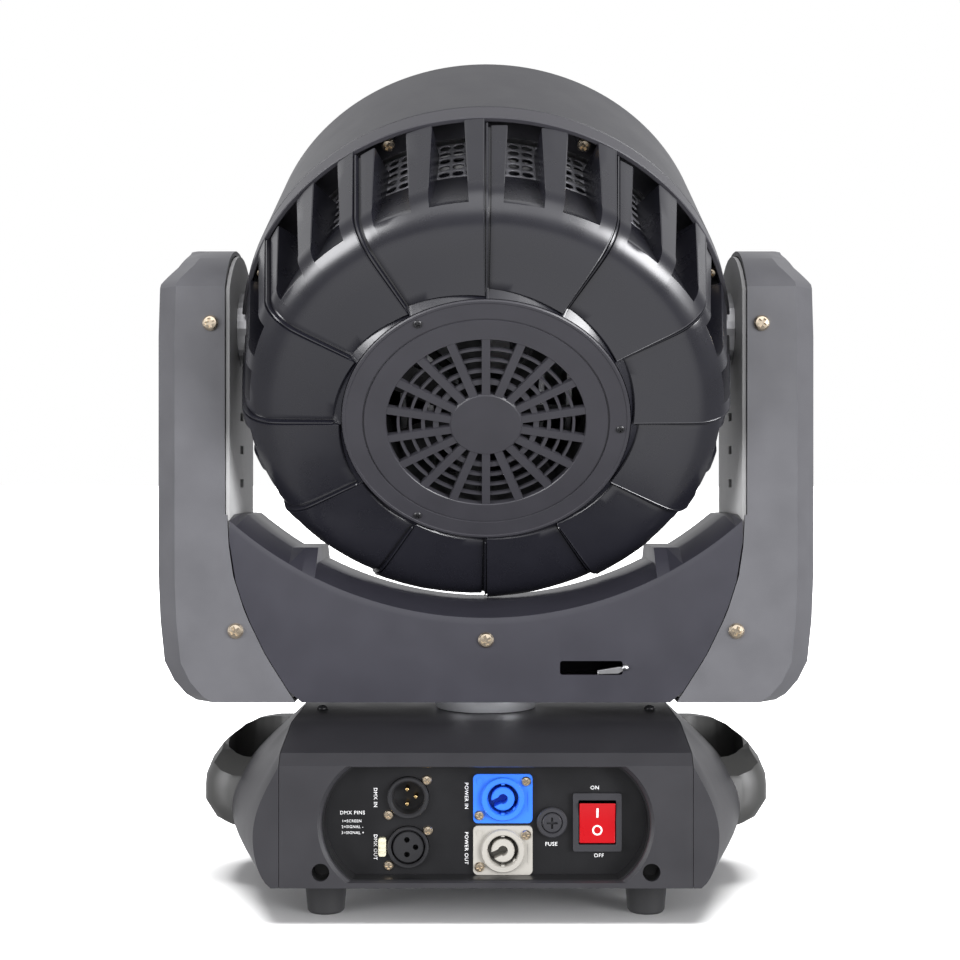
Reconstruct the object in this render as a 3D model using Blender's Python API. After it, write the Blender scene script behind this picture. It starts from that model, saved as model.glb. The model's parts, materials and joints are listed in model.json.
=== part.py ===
"""A moving head light: base, yoke and head, each built from separate pieces.

The origin is the centre of the base's underside, on the pan axis. +Z is up, -Y is the side with the
connectors and +X is on the right of somebody facing the connectors. Shapes are written in
millimetres and become metres when they are placed. The lens looks up and towards +Y at rest.
"""

import math

import bmesh
import bpy
from mathutils import Matrix

MM = 0.001
GAP = 0.3
WALL = 2.7

# Base
BASE_HALF_DEPTH = 117.0
BASE_HALF_WIDTH = 110.0
BASE_FRONT_TOP = 65.0
BASE_CHAMFER = 6.0
BASE_TOP = 80.0
BASE_TOP_HALF_DEPTH = 60.0
CAP_BULGE = 41.0
CAP_BULGE_AT_FRONT = 14.0
CAP_WIDEST_Z = 20.0
FOOT_HEIGHT = 20.0
FOOT_AT = (88.0, 86.0)
HANDLE_HALF_DEPTH = 42.0
HANDLE_SECTIONS = (
    ((125.0, 76.5), (125.0, 68.0)),
    ((138.0, 75.5), (134.0, 68.0)),
    ((148.0, 69.4), (144.0, 65.5)),
    ((157.0, 60.5), (152.5, 58.5)),
    ((163.5, 51.0), (157.5, 50.0)),
    ((165.5, 47.0), (155.0, 46.9)),
    ((166.3, 45.4), (143.5, 46.4)),
    ((167.0, 43.0), (147.0, 41.0)),
    ((167.0, 30.0), (151.4, 30.0)),
    ((166.0, 22.0), (152.6, 20.0)),
    ((163.0, 12.0), (152.4, 14.0)),
    ((157.0, 9.8), (152.0, 8.0)),
)
PANEL_Y = -102.0
BAY_CENTRE_Z = 33.75
BAY_HALF_HEIGHT = 29.75
BAY_HALF_WIDTH = 86.6
BAY_END_RADIUS = 36.0

# Connector panel: (x, z) of each piece on it
DMX_IN_AT = (-42.0, 45.6)
DMX_OUT_AT = (-42.0, 18.9)
DMX_PIN_CIRCLE = 4.6
POWER_IN_AT = (9.1, 45.2)
POWER_OUT_AT = (9.1, 17.3)
FUSE_AT = (35.6, 32.2)
SWITCH_AT = (60.0, 32.4)
SWITCH_OPENING = (20.3, 23.6)

# Display side: (x, z) of the menu buttons
BUTTONS_AT = ((34.0, 33.0), (50.0, 42.0), (50.0, 24.0), (66.0, 33.0))
BUTTON_RADIUS = 5.0

# Pan drive
PAN_SHAFT_RADIUS = 12.0
PAN_PULLEY_RADIUS = 34.0
PAN_MOTOR_X = 70.0
MOTOR_PULLEY_RADIUS = 9.0

# Yoke
YOKE_BOTTOM = 89.5
YOKE_HALF_DEPTH = 50.0
ARM_INNER_X = 149.8
ARM_OUTER_X = 190.0
ARM_TOP_RADIUS = 60.0
ARM_TOP_CENTRE_Z = 294.6
ARM_CHAMFER = 11.5
ARM_OUTLINE = (
    (89.5, 168.0),
    (93.0, 174.0),
    (101.0, 181.0),
    (112.0, 186.5),
    (136.0, 189.0),
    (160.0, ARM_OUTER_X),
    (318.0, ARM_OUTER_X),
    (331.0, 189.0),
    (342.0, 181.0),
    (353.0, 177.0),
)
ARM_TOP_STATIONS = (56, 48, 40, 32, 24, 16, 9, 4)
PLATE_INNER_X = 147.5
PLATE = 2.0
SEAM = (
    (89.5, 109.0),
    (116.0, 125.8),
    (140.0, 137.5),
    (162.0, 144.5),
    (179.0, 147.0),
    (197.0, 148.0),
)
SADDLE_FRONT_ARC = (359.7, 221.8)
SADDLE_TOP_ARC = (361.9, 216.4)
SADDLE_TOP_HALF_DEPTH = 30.0
SADDLE_END_Z = 197.0
LUG_X = (90.0, 98.0, 113.3)
LUG_TOP = 177.5
LOCK_SLOT = (42.4, 78.4, 105.3, 113.3)

# Tilt drive
TILT_Z = 307.6
TILT_REST_ELEVATION = 36.8
TILT_PULLEY_RADIUS = 30.0
TILT_MOTOR_Z = 125.0

# Head, as (radius, distance along the lens axis from the tilt axis)
DISC_RADIUS = 80.0
DISC_U = -100.7
RIM_RADIUS = 145.0
RIM_U = (-17.0, -3.0)
BEZEL_FRONT = (137.0, 76.0)
SHELL_OUTLINE = (
    (80.6, -98.6),
    (117.0, -98.0),
    (126.0, -95.0),
    (132.5, -89.0),
    (136.0, -80.0),
    (143.0, -20.0),
)
SHELL_SECTORS = 12
VENT_RADIUS = 125.0
VENT_TURNS = (8.5, 21.75)
VENT_HALF_TURN = 3.6
LENS_PITCH = 50.0
LENS_PLATE_U = 54.0
LENS_PLATE_RADIUS = 128.0


def look(name, colour, metallic=0.0, roughness=0.5):
    made = bpy.data.materials.new(name)
    made.use_nodes = True
    shader = made.node_tree.nodes["Principled BSDF"]
    shader.inputs["Base Color"].default_value = (*colour, 1.0)
    shader.inputs["Metallic"].default_value = metallic
    shader.inputs["Roughness"].default_value = roughness
    return made


def closed(mesh):
    """The mesh as flat triangles that face out."""
    bmesh.ops.triangulate(mesh, faces=mesh.faces)
    bmesh.ops.recalc_face_normals(mesh, faces=mesh.faces)
    return mesh


def loft(sections):
    """A body through equal-length closed loops of points, its two ends filled."""
    mesh = bmesh.new()
    loops = [[mesh.verts.new(point) for point in section] for section in sections]
    count = len(loops[0])
    for near, far in zip(loops, loops[1:]):
        for i in range(count):
            j = (i + 1) % count
            mesh.faces.new((near[i], near[j], far[j], far[i]))
    mesh.faces.new(loops[0])
    mesh.faces.new(loops[-1])
    return closed(mesh)


def on_axis(axis, across, up, along):
    """A point from two in-plane values and one along the axis: X takes (y, z), Y (x, z), Z (x, y)."""
    return {"X": (along, across, up), "Y": (across, along, up), "Z": (across, up, along)}[axis]


def prism(outline, axis, start, end):
    return loft([[on_axis(axis, a, b, along) for a, b in outline] for along in (start, end)])


def block(x, y, z):
    return prism([(x[0], y[0]), (x[1], y[0]), (x[1], y[1]), (x[0], y[1])], "Z", *z)


def arc(centre, radius, first, last, steps):
    """Points of a circle between two angles in degrees."""
    turns = [math.radians(first + (last - first) * i / steps) for i in range(steps + 1)]
    return [(centre[0] + radius * math.cos(t), centre[1] + radius * math.sin(t)) for t in turns]


def circle(centre, radius, steps=24):
    return arc(centre, radius, 0, 360, steps)[:-1]


def lathe(outline, axis="Z", steps=48, at=(0.0, 0.0, 0.0)):
    """A closed (radius, distance) outline turned about an axis through a point."""
    mesh = bmesh.new()
    rings = []
    for radius, along in outline:
        ring = circle((0, 0), radius, steps) if radius else [(0.0, 0.0)]
        rings.append([mesh.verts.new(on_axis(axis, a, b, along)) for a, b in ring])
    for near, far in zip(rings, rings[1:] + rings[:1]):
        for i in range(steps):
            j = (i + 1) % steps
            corners = (near[i % len(near)], near[j % len(near)], far[j % len(far)], far[i % len(far)])
            distinct = list(dict.fromkeys(corners))
            if len(distinct) > 2:
                mesh.faces.new(distinct)
    bmesh.ops.translate(mesh, verts=mesh.verts, vec=at)
    return closed(mesh)


def cylinder(radius, start, end, axis="Z", steps=24, at=(0.0, 0.0, 0.0)):
    return lathe([(0, start), (radius, start), (radius, end), (0, end)], axis, steps, at)


def hoop(outer, inner, axis, start, end):
    """A band between two outlines of equal length."""
    mesh = bmesh.new()
    loops = []
    for outline, along in ((outer, start), (outer, end), (inner, end), (inner, start)):
        loops.append([mesh.verts.new(on_axis(axis, a, b, along)) for a, b in outline])
    count = len(outer)
    for near, far in zip(loops, loops[1:] + loops[:1]):
        for i in range(count):
            j = (i + 1) % count
            mesh.faces.new((near[i], near[j], far[j], far[i]))
    return closed(mesh)


def together(shapes):
    """Several bodies that don't touch, as one mesh."""
    whole = bmesh.new()
    for shape in shapes:
        held = bpy.data.meshes.new("held")
        shape.to_mesh(held)
        whole.from_mesh(held)
        bpy.data.meshes.remove(held)
    return whole


def turned(shape, degrees, axis="Z"):
    bmesh.ops.rotate(shape, verts=shape.verts, matrix=Matrix.Rotation(math.radians(degrees), 3, axis))
    return shape


def shifted(shape, vector):
    bmesh.ops.translate(shape, verts=shape.verts, vec=vector)
    return shape


def rectangle(centre, size):
    return [
        (centre[0] + a * size[0] / 2, centre[1] + b * size[1] / 2)
        for a, b in ((-1, -1), (1, -1), (1, 1), (-1, 1))
    ]


def between(pairs, value):
    """Straight-line reading of a list of (input, output) pairs, held at its ends."""
    if value <= pairs[0][0]:
        return pairs[0][1]
    for (low, first), (high, last) in zip(pairs, pairs[1:]):
        if value <= high:
            return first + (last - first) * (value - low) / (high - low)
    return pairs[-1][1]


def placed(name, shape, at, parent, collection):
    bmesh.ops.scale(shape, vec=(MM, MM, MM), verts=shape.verts)
    data = bpy.data.meshes.new(name)
    shape.to_mesh(data)
    shape.free()
    item = bpy.data.objects.new(name, data)
    item.location = [value * MM for value in at]
    item.parent = parent
    collection.objects.link(item)
    return item


def solid(name, shape, material, at=(0, 0, 0), parent=None, joins=(), keeps=(), cuts=()):
    """A node, with other shapes in the same frame joined to it, kept in common or cut from it."""
    node = placed(name, shape, at, parent, PARTS)
    node.data.materials.append(material)
    for operation, tools in (("UNION", joins), ("INTERSECT", keeps), ("DIFFERENCE", cuts)):
        for number, tool in enumerate(tools):
            helper = placed(f"{name}_{operation.lower()}_{number}", tool, at, parent, CUTTERS)
            helper.hide_render = True
            helper.display_type = "WIRE"
            modifier = node.modifiers.new(helper.name, "BOOLEAN")
            modifier.operation = operation
            modifier.solver = "EXACT"
            modifier.object = helper
    return node


def axis_empty(name, at, parent=None):
    empty = bpy.data.objects.new(name, None)
    empty.location = [value * MM for value in at]
    empty.parent = parent
    PARTS.objects.link(empty)
    return empty


# ---------------------------------------------------------------- base


def base_top(y):
    """Height of the base's top surface."""
    ridge = (BASE_TOP_HALF_DEPTH, BASE_TOP)
    strip = (BASE_HALF_DEPTH - BASE_CHAMFER, BASE_FRONT_TOP + BASE_CHAMFER)
    return between([ridge, strip, (BASE_HALF_DEPTH, BASE_FRONT_TOP)], abs(y))


def cap_x(y, z, inset=0.0):
    """How far out the bulged end cap reaches."""
    across = math.cos(math.pi / 2 * y / BASE_HALF_DEPTH)
    bulge = CAP_BULGE_AT_FRONT + (CAP_BULGE - CAP_BULGE_AT_FRONT) * across
    if z >= CAP_WIDEST_Z:
        rise = (z - CAP_WIDEST_Z) / (base_top(y) - inset - CAP_WIDEST_Z)
        share = math.cos(math.pi / 2 * min(1.0, rise))
    else:
        share = 1 - 0.06 * ((CAP_WIDEST_Z - z) / CAP_WIDEST_Z) ** 2
    return BASE_HALF_WIDTH + (bulge - inset) * share


def cap_body(side, inset, inner_x, bottom):
    stations = 14
    heights = 9
    reach = BASE_HALF_DEPTH - inset
    sections = []
    for i in range(stations + 1):
        y = reach * (2 * i / stations - 1)
        top = base_top(y) - inset
        levels = [bottom + (top - bottom) * k / heights for k in range(heights)]
        loop = [(inner_x, z) for z in (top, bottom)] + [(cap_x(y, z, inset), z) for z in levels]
        sections.append([(side * x, y, z) for x, z in loop])
    return loft(sections)


def base_shell_outline(inset):
    corners = [
        (BASE_HALF_DEPTH - inset, -inset),
        (BASE_HALF_DEPTH - inset, BASE_FRONT_TOP - inset * 0.4),
        (BASE_HALF_DEPTH - BASE_CHAMFER - inset * 0.5, BASE_FRONT_TOP + BASE_CHAMFER - inset * 0.9),
        (BASE_TOP_HALF_DEPTH - inset * 0.1, BASE_TOP - inset),
    ]
    return corners + [(-y, z) for y, z in reversed(corners)]


def bay_outline():
    reach = math.degrees(math.asin(BAY_HALF_HEIGHT / BAY_END_RADIUS))
    offset = BAY_HALF_WIDTH - BAY_END_RADIUS
    right = arc((offset, BAY_CENTRE_Z), BAY_END_RADIUS, -reach, reach, 8)
    left = arc((-offset, BAY_CENTRE_Z), BAY_END_RADIUS, 180 - reach, 180 + reach, 8)
    return right + left


def handle_body(side):
    """The handle as flat sections from the base's top edge down to the end of the grip."""
    half = HANDLE_HALF_DEPTH
    sections = []
    for (outer_x, outer_z), (inner_x, inner_z) in HANDLE_SECTIONS:
        outside = [(side * outer_x, y, outer_z) for y in (-half, half)]
        inside = [(side * inner_x, y, inner_z) for y in (half, -half)]
        sections.append(outside + inside)
    return loft(sections)


def belt_path(first, first_radius, second, second_radius, grow):
    """The outline round two pulleys whose centres lie along the first in-plane axis."""
    span = second - first
    lean = math.degrees(math.acos((first_radius - second_radius) / span))
    far = arc((second, 0), second_radius + grow, -lean, lean, 12)
    near = arc((first, 0), first_radius + grow, lean, 360 - lean, 24)
    return far + near


def build_base(looks):
    outline = [(cap_x(y, 0) - 4, y) for y in range(-112, 113, 14)]
    outline += [(-x, y) for x, y in reversed(outline)]
    solid("base_plate", prism(outline, "Z", 0, 2), looks["steel"])
    reach = BASE_HALF_WIDTH
    solid(
        "base_shell",
        prism(base_shell_outline(0), "X", -reach, reach),
        looks["plastic"],
        cuts=(
            prism(base_shell_outline(WALL), "X", -reach - 1, reach + 1),
            cylinder(24, BASE_TOP - 10, BASE_TOP + 10, steps=32),
            prism(rectangle((8, 33), (150, 46)), "Y", BASE_HALF_DEPTH - 20, BASE_HALF_DEPTH + 5),
            prism(bay_outline(), "Y", -BASE_HALF_DEPTH - 5, -BASE_HALF_DEPTH + 5),
        ),
    )
    solid(
        "connector_bay",
        block((-100, 100), (-BASE_HALF_DEPTH + WALL + GAP, PANEL_Y - GAP), (2.5, 63.6 + GAP)),
        looks["plastic"],
        cuts=(prism(bay_outline(), "Y", -BASE_HALF_DEPTH, PANEL_Y + 5),),
    )
    for side, word in ((-1, "left"), (1, "right")):
        solid(
            f"end_cap_{word}",
            cap_body(side, 0, reach + GAP, 0),
            looks["plastic"],
            cuts=(cap_body(side, WALL, reach - 3, -2),),
        )
        solid(
            f"handle_{word}",
            handle_body(side),
            looks["grey_plastic"],
        )
    foot = [(0, -GAP), (12, -GAP), (12, -4), (10, -FOOT_HEIGHT), (0, -FOOT_HEIGHT)]
    for x, word in ((-FOOT_AT[0], "left"), (FOOT_AT[0], "right")):
        for y, end in ((-FOOT_AT[1], "front"), (FOOT_AT[1], "rear")):
            solid(f"foot_{end}_{word}", lathe(foot, steps=24), looks["rubber"], at=(x, y, 0))


def on_panel(spot):
    return (spot[0], PANEL_Y, spot[1])


def build_connectors(looks):
    holes = [
        cylinder(11.4, -5, 5, "Y", at=(DMX_IN_AT[0], PANEL_Y, DMX_IN_AT[1])),
        cylinder(11.4, -5, 5, "Y", at=(DMX_OUT_AT[0], PANEL_Y, DMX_OUT_AT[1])),
        cylinder(12.4, -5, 5, "Y", at=(POWER_IN_AT[0], PANEL_Y, POWER_IN_AT[1])),
        cylinder(12.4, -5, 5, "Y", at=(POWER_OUT_AT[0], PANEL_Y, POWER_OUT_AT[1])),
        cylinder(7.0, -5, 5, "Y", at=(FUSE_AT[0], PANEL_Y, FUSE_AT[1])),
        prism(rectangle(SWITCH_AT, (24.4, 28.4)), "Y", PANEL_Y - 5, PANEL_Y + 5),
        prism(rectangle((DMX_OUT_AT[0] - 14, DMX_OUT_AT[1]), (4.6, 10.6)), "Y", PANEL_Y - 5, PANEL_Y + 5),
    ]
    solid(
        "connector_panel",
        block((-98, 98), (PANEL_Y, PANEL_Y + 2), (2.6, 65)),
        looks["panel"],
        cuts=(together(holes),),
    )
    turns = [math.radians(degrees) for degrees in (90, 210, 330)]
    pins = [(DMX_PIN_CIRCLE * math.cos(turn), DMX_PIN_CIRCLE * math.sin(turn)) for turn in turns]
    solid(
        "dmx_in",
        lathe([(0, 18), (11, 18), (11, -4), (8, -4), (8, 10), (0, 10)], "Y", 32),
        looks["dark_metal"],
        at=on_panel(DMX_IN_AT),
        joins=[cylinder(1.2, -2, 12, "Y", 12, (x, 0, z)) for x, z in pins],
    )
    solid(
        "dmx_out",
        lathe([(0, 18), (11, 18), (11, -4), (9, -4), (9, -3), (0, -3)], "Y", 32),
        looks["dark_metal"],
        at=on_panel(DMX_OUT_AT),
        cuts=[cylinder(1.6, -6, 8, "Y", 12, (x, 0, z)) for x, z in pins],
    )
    solid(
        "dmx_out_latch",
        block((-2, 2), (-3.6, 4), (-5, 5)),
        looks["cream_plastic"],
        at=(DMX_OUT_AT[0] - 14, PANEL_Y, DMX_OUT_AT[1]),
    )
    socket = [(0, 16), (12, 16), (12, -6), (9, -6), (9, 8), (6, 8), (6, -4), (0, -4)]
    for name, spot, material in (
        ("power_in", POWER_IN_AT, looks["blue_plastic"]),
        ("power_out", POWER_OUT_AT, looks["pale_plastic"]),
    ):
        solid(
            name,
            lathe(socket, "Y", 32),
            material,
            at=on_panel(spot),
            joins=(hoop(rectangle_ring(31, 26), circle((0, 0), 11, 32), "Y", -2.3, -GAP),),
        )
    fuse_body = [(6.5, 14), (6.5, -GAP), (8, -GAP), (8, -3), (5.6, -3), (5.6, 12), (0, 12), (0, 14)]
    solid(
        "fuse_holder",
        lathe(fuse_body, "Y", 32),
        looks["plastic"],
        at=on_panel(FUSE_AT),
    )
    solid(
        "fuse_cap",
        cylinder(5.25, -3.4, 11.5, "Y"),
        looks["plastic"],
        at=on_panel(FUSE_AT),
        cuts=(block((-4, 4), (-5, -2), (-0.6, 0.6)), block((-0.6, 0.6), (-5, -2), (-4, 4))),
    )
    opening = rectangle((0, 0), SWITCH_OPENING)
    solid(
        "switch_bezel",
        prism(rectangle((0, 0), (26, 31)), "Y", -2.8, -GAP),
        looks["plastic"],
        at=on_panel(SWITCH_AT),
        joins=(prism(rectangle((0, 0), (23.8, 27.8)), "Y", -1, 16),),
        cuts=(prism(opening, "Y", -5, 13),),
    )
    profile = [(-5.2, 10.6), (-2.6, 0.0), (-2.4, -11.2), (4.5, -8.5), (7.5, 0.0), (4.5, 8.5)]
    solid(
        "rocker",
        prism(profile, "X", -9.7, 9.7),
        looks["red_plastic"],
        at=on_panel(SWITCH_AT),
    )


def rectangle_ring(width, height):
    """A rectangle's outline with one point for each of a 32-step circle's."""
    points = []
    for x, z in circle((0, 0), 1.0, 32):
        stretch = max(abs(x) / (width / 2), abs(z) / (height / 2))
        points.append((x / stretch, z / stretch))
    return points


def build_display(looks):
    front = BASE_HALF_DEPTH - WALL - GAP
    reach = (BUTTON_RADIUS + 0.4, front - 5, front + 2)
    holes = [cylinder(*reach, "Y", at=(x, 0, z)) for x, z in BUTTONS_AT]
    solid(
        "display_panel",
        block((-72, 88), (front - 2.5, front), (5, 61)),
        looks["panel"],
        cuts=holes,
    )
    solid("display_window", block((-60, 10), (front + GAP, front + 1.5), (16, 50)), looks["glass"])
    cap = [(0, -6), (BUTTON_RADIUS, -6), (BUTTON_RADIUS, 2), (4, 3), (0, 3)]
    for number, (x, z) in enumerate(BUTTONS_AT, 1):
        solid(f"menu_button_{number}", lathe(cap, "Y", 20), looks["rubber"], at=(x, front, z))
    solid("main_board", block((-70, 86), (96, 97.6), (5, 60)), looks["board"])


def build_pan_drive(looks, yoke):
    solid("power_supply", block((-104, -42), (-75, 80), (2.3, 46)), looks["aluminium"])
    post = [(PAN_SHAFT_RADIUS + GAP, 2.3), (20, 2.3), (20, 50), (PAN_SHAFT_RADIUS + GAP, 50)]
    solid("pan_bearing", lathe(post, steps=32), looks["aluminium"])
    half = 28
    body = block((PAN_MOTOR_X - half, PAN_MOTOR_X + half), (-half, half), (2.3, 44))
    solid("pan_motor", body, looks["motor"])
    solid(
        "pan_motor_pulley",
        cylinder(MOTOR_PULLEY_RADIUS, 51, 61, steps=24),
        looks["steel"],
        at=(PAN_MOTOR_X, 0, 0),
        joins=(cylinder(3, 44 + GAP, 52, steps=16),),
    )
    paths = [belt_path(0, PAN_PULLEY_RADIUS, PAN_MOTOR_X, MOTOR_PULLEY_RADIUS, g) for g in (1.8, GAP)]
    solid("pan_belt", hoop(*paths, "Z", 52.5, 59.5), looks["rubber"])
    bore = PAN_SHAFT_RADIUS + GAP
    ring = [(bore, 52), (PAN_PULLEY_RADIUS, 52), (PAN_PULLEY_RADIUS, 60), (bore, 60)]
    solid("pan_pulley", lathe(ring, steps=32), looks["steel"], parent=yoke)
    cable_way = 8
    hub = [
        (cable_way, 30),
        (PAN_SHAFT_RADIUS, 30),
        (PAN_SHAFT_RADIUS, BASE_TOP + GAP),
        (30, BASE_TOP + GAP),
        (30, YOKE_BOTTOM - GAP),
        (25, YOKE_BOTTOM - GAP),
        (25, YOKE_BOTTOM + WALL),
        (cable_way, YOKE_BOTTOM + WALL),
    ]
    solid("pan_hub", lathe(hub, steps=32), looks["aluminium"], parent=yoke)


# ---------------------------------------------------------------- yoke


def arm_half_depth(z, inset=0.0):
    rise = z - ARM_TOP_CENTRE_Z
    radius = ARM_TOP_RADIUS - inset
    half = YOKE_HALF_DEPTH - inset
    return half if rise <= 0 else min(half, math.sqrt(max(radius**2 - rise**2, 0.0)))


def arm_body(side, inset, seam_grow):
    """The arm as plan sections from the bottom up, with its outer edges bevelled."""
    top = ARM_TOP_CENTRE_Z + ARM_TOP_RADIUS - inset
    levels = [YOKE_BOTTOM + inset, 93, 101, 112, 124, 136, 150, 162, 179, 196.9, 197.1, 240, 300]
    radius = ARM_TOP_RADIUS - inset
    levels += [top - radius * (1 - math.cos(math.radians(station))) for station in ARM_TOP_STATIONS]
    sections = []
    for z in levels:
        inner = (between(SEAM, z) + 0.5 if z < SADDLE_END_Z else ARM_INNER_X) + seam_grow
        outer = between(ARM_OUTLINE, z) - inset
        half = arm_half_depth(z, inset)
        bevel = min(ARM_CHAMFER, half * 0.6)
        plan = [(inner, -half), (outer - bevel, -half), (outer, bevel - half)]
        plan += [(x, -y) for x, y in reversed(plan)]
        sections.append([(side * x, y, z) for x, y in plan])
    return loft(sections)


def saddle_body(inset):
    """The saddle as cross sections from one arm to the other."""
    end = PLATE_INNER_X - GAP + inset
    stations = [0, 15, 30, 45, 60, 75, *LUG_X[:2], 105, LUG_X[2], 122, 131, 139.5, 143.5, end]
    stations = [-x for x in reversed(stations[1:])] + stations
    seam_z = [(x, z) for z, x in SEAM]
    sections = []
    for x in stations:
        span = abs(x)
        bottom = max(YOKE_BOTTOM, between(seam_z, span))
        if inset:
            bottom = YOKE_BOTTOM + inset if span < seam_z[0][0] else bottom - inset * 2
        front = SADDLE_FRONT_ARC[0] - math.sqrt(SADDLE_FRONT_ARC[1] ** 2 - x * x)
        top = min(SADDLE_TOP_ARC[0] - math.sqrt(SADDLE_TOP_ARC[1] ** 2 - x * x), SADDLE_END_Z)
        if LUG_X[1] <= span <= LUG_X[2]:
            top = LUG_TOP
        front = min(front, top - 2) - inset
        half = YOKE_HALF_DEPTH - inset
        profile = [(-half, bottom), (-half, front), (inset * 0.5 - SADDLE_TOP_HALF_DEPTH, top - inset)]
        profile += [(-y, z) for y, z in reversed(profile)]
        sections.append([(x, y, z) for y, z in profile])
    return loft(sections)


def side_outline(inset):
    """The arm seen from the side, carried on below the yoke."""
    half = YOKE_HALF_DEPTH - inset
    radius = ARM_TOP_RADIUS - inset
    reach = math.degrees(math.acos(half / radius))
    return [(-half, 0), (half, 0)] + arc((0, ARM_TOP_CENTRE_Z), radius, reach, 180 - reach, 12)


def build_yoke(looks, yoke):
    floor = YOKE_BOTTOM + WALL + GAP
    outer = PLATE_INNER_X + PLATE
    inner = PLATE_INNER_X
    section = [(-outer, floor), (outer, floor), (outer, 360), (inner, 360), (inner, floor + 3)]
    section += [(-inner, floor + 3), (-inner, 360), (-outer, 360)]
    slots = [
        prism(rectangle((0, z), (12, 5)), "X", -outer - 5, outer + 5) for z in (215, 235, 255)
    ]
    holes = [
        cylinder(10.6, -outer - 5, outer + 5, "X", at=(0, 0, TILT_Z)),
        cylinder(7, inner - 5, outer + 5, "X", at=(0, 0, TILT_MOTOR_Z)),
        cylinder(9, floor - 5, floor + 5),
    ]
    solid(
        "yoke_frame",
        prism(section, "Y", -YOKE_HALF_DEPTH, YOKE_HALF_DEPTH),
        looks["grey_metal"],
        parent=yoke,
        keeps=(prism(side_outline(3.2), "X", -outer - 5, outer + 5),),
        cuts=(together(slots), *holes),
    )
    for side, word in ((-1, "left"), (1, "right")):
        solid(
            f"arm_cover_{word}",
            arm_body(side, 0, 0),
            looks["plastic"],
            parent=yoke,
            cuts=(arm_body(side, WALL, -6),),
        )
    low, high = LOCK_SLOT[2:]
    solid(
        "saddle_cover",
        saddle_body(0),
        looks["saddle"],
        parent=yoke,
        cuts=(
            saddle_body(WALL),
            cylinder(25 + GAP, YOKE_BOTTOM - 5, YOKE_BOTTOM + 6),
            prism(rectangle((sum(LOCK_SLOT[:2]) / 2, (low + high) / 2), (36, 8)), "Y", -55, -45),
        ),
    )
    solid(
        "pan_lock_lever",
        block((-2.5, 2.5), (-2.5, 4), (-2.5, 2.5)),
        looks["steel"],
        at=(LOCK_SLOT[1] - 3.5, -YOKE_HALF_DEPTH, (low + high) / 2),
        parent=yoke,
        joins=(block((-4, 4), (3.2, 5.2), (-6, 6)),),
    )
    half = 21
    solid(
        "tilt_motor",
        block((108, inner - GAP), (-half, half), (TILT_MOTOR_Z - half, TILT_MOTOR_Z + half)),
        looks["motor"],
        parent=yoke,
    )
    solid(
        "tilt_motor_pulley",
        cylinder(MOTOR_PULLEY_RADIUS, 156, 166, "X"),
        looks["steel"],
        at=(0, 0, TILT_MOTOR_Z),
        parent=yoke,
        joins=(cylinder(3, inner, 157, "X", 16),),
    )
    drop = TILT_MOTOR_Z - TILT_Z
    paths = []
    for grow in (1.8, GAP):
        path = belt_path(0, TILT_PULLEY_RADIUS, -drop, MOTOR_PULLEY_RADIUS, grow)
        paths.append([(across, TILT_Z - along) for along, across in path])
    solid("tilt_belt", hoop(*paths, "X", 157.5, 164.5), looks["rubber"], parent=yoke)
    solid("tilt_driver_board", block((-156, -154.4), (-38, 38), (135, 265)), looks["board"], parent=yoke)


# ---------------------------------------------------------------- head


def shell_solid_outline():
    """The rear shell's wall, outside then inside, in from the rim to the disc."""
    inner = [(r - WALL * 0.9, u + WALL * 0.4) for r, u in SHELL_OUTLINE[2:-1]]
    first = (DISC_RADIUS + 0.6, SHELL_OUTLINE[0][1] + WALL)
    bend = (SHELL_OUTLINE[1][0], SHELL_OUTLINE[1][1] + WALL)
    rim = RIM_U[0] - GAP
    lip = [(RIM_RADIUS - 1.7, rim), (RIM_RADIUS - 4.4, rim)]
    return [*SHELL_OUTLINE, *lip, *reversed(inner), bend, first]


def vent_cutter():
    """Two openings in each sector of the shell's side wall."""
    slots = []
    for sector in range(SHELL_SECTORS):
        for turn in VENT_TURNS:
            slot = block((128, 152), (-VENT_HALF_TURN * 2.4, VENT_HALF_TURN * 2.4), (-78, -26))
            slots.append(turned(slot, 90 + sector * 360 / SHELL_SECTORS + turn))
    return together(slots)


def wedge(inner, outer, half_turn, low, high):
    """A slot through a flat disc, between two radii."""
    far = arc((0, 0), outer, -half_turn, half_turn, 1)
    near = arc((0, 0), inner, half_turn, -half_turn, 1)
    return prism(far + near, "Z", low, high)


def lens_spots():
    """Nineteen places in a hexagon: (column, row) steps of sixty degrees."""
    spots = []
    for row in range(-2, 3):
        for column in range(-2, 3):
            if abs(row + column) <= 2:
                spots.append((LENS_PITCH * (column + row / 2), LENS_PITCH * row * math.sin(math.pi / 3)))
    return spots


def pocket():
    """The room round both tilt shafts."""
    return together([cylinder(27, *ends, "X", 32) for ends in ((-160, -131.7), (131.7, 160))])


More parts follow.
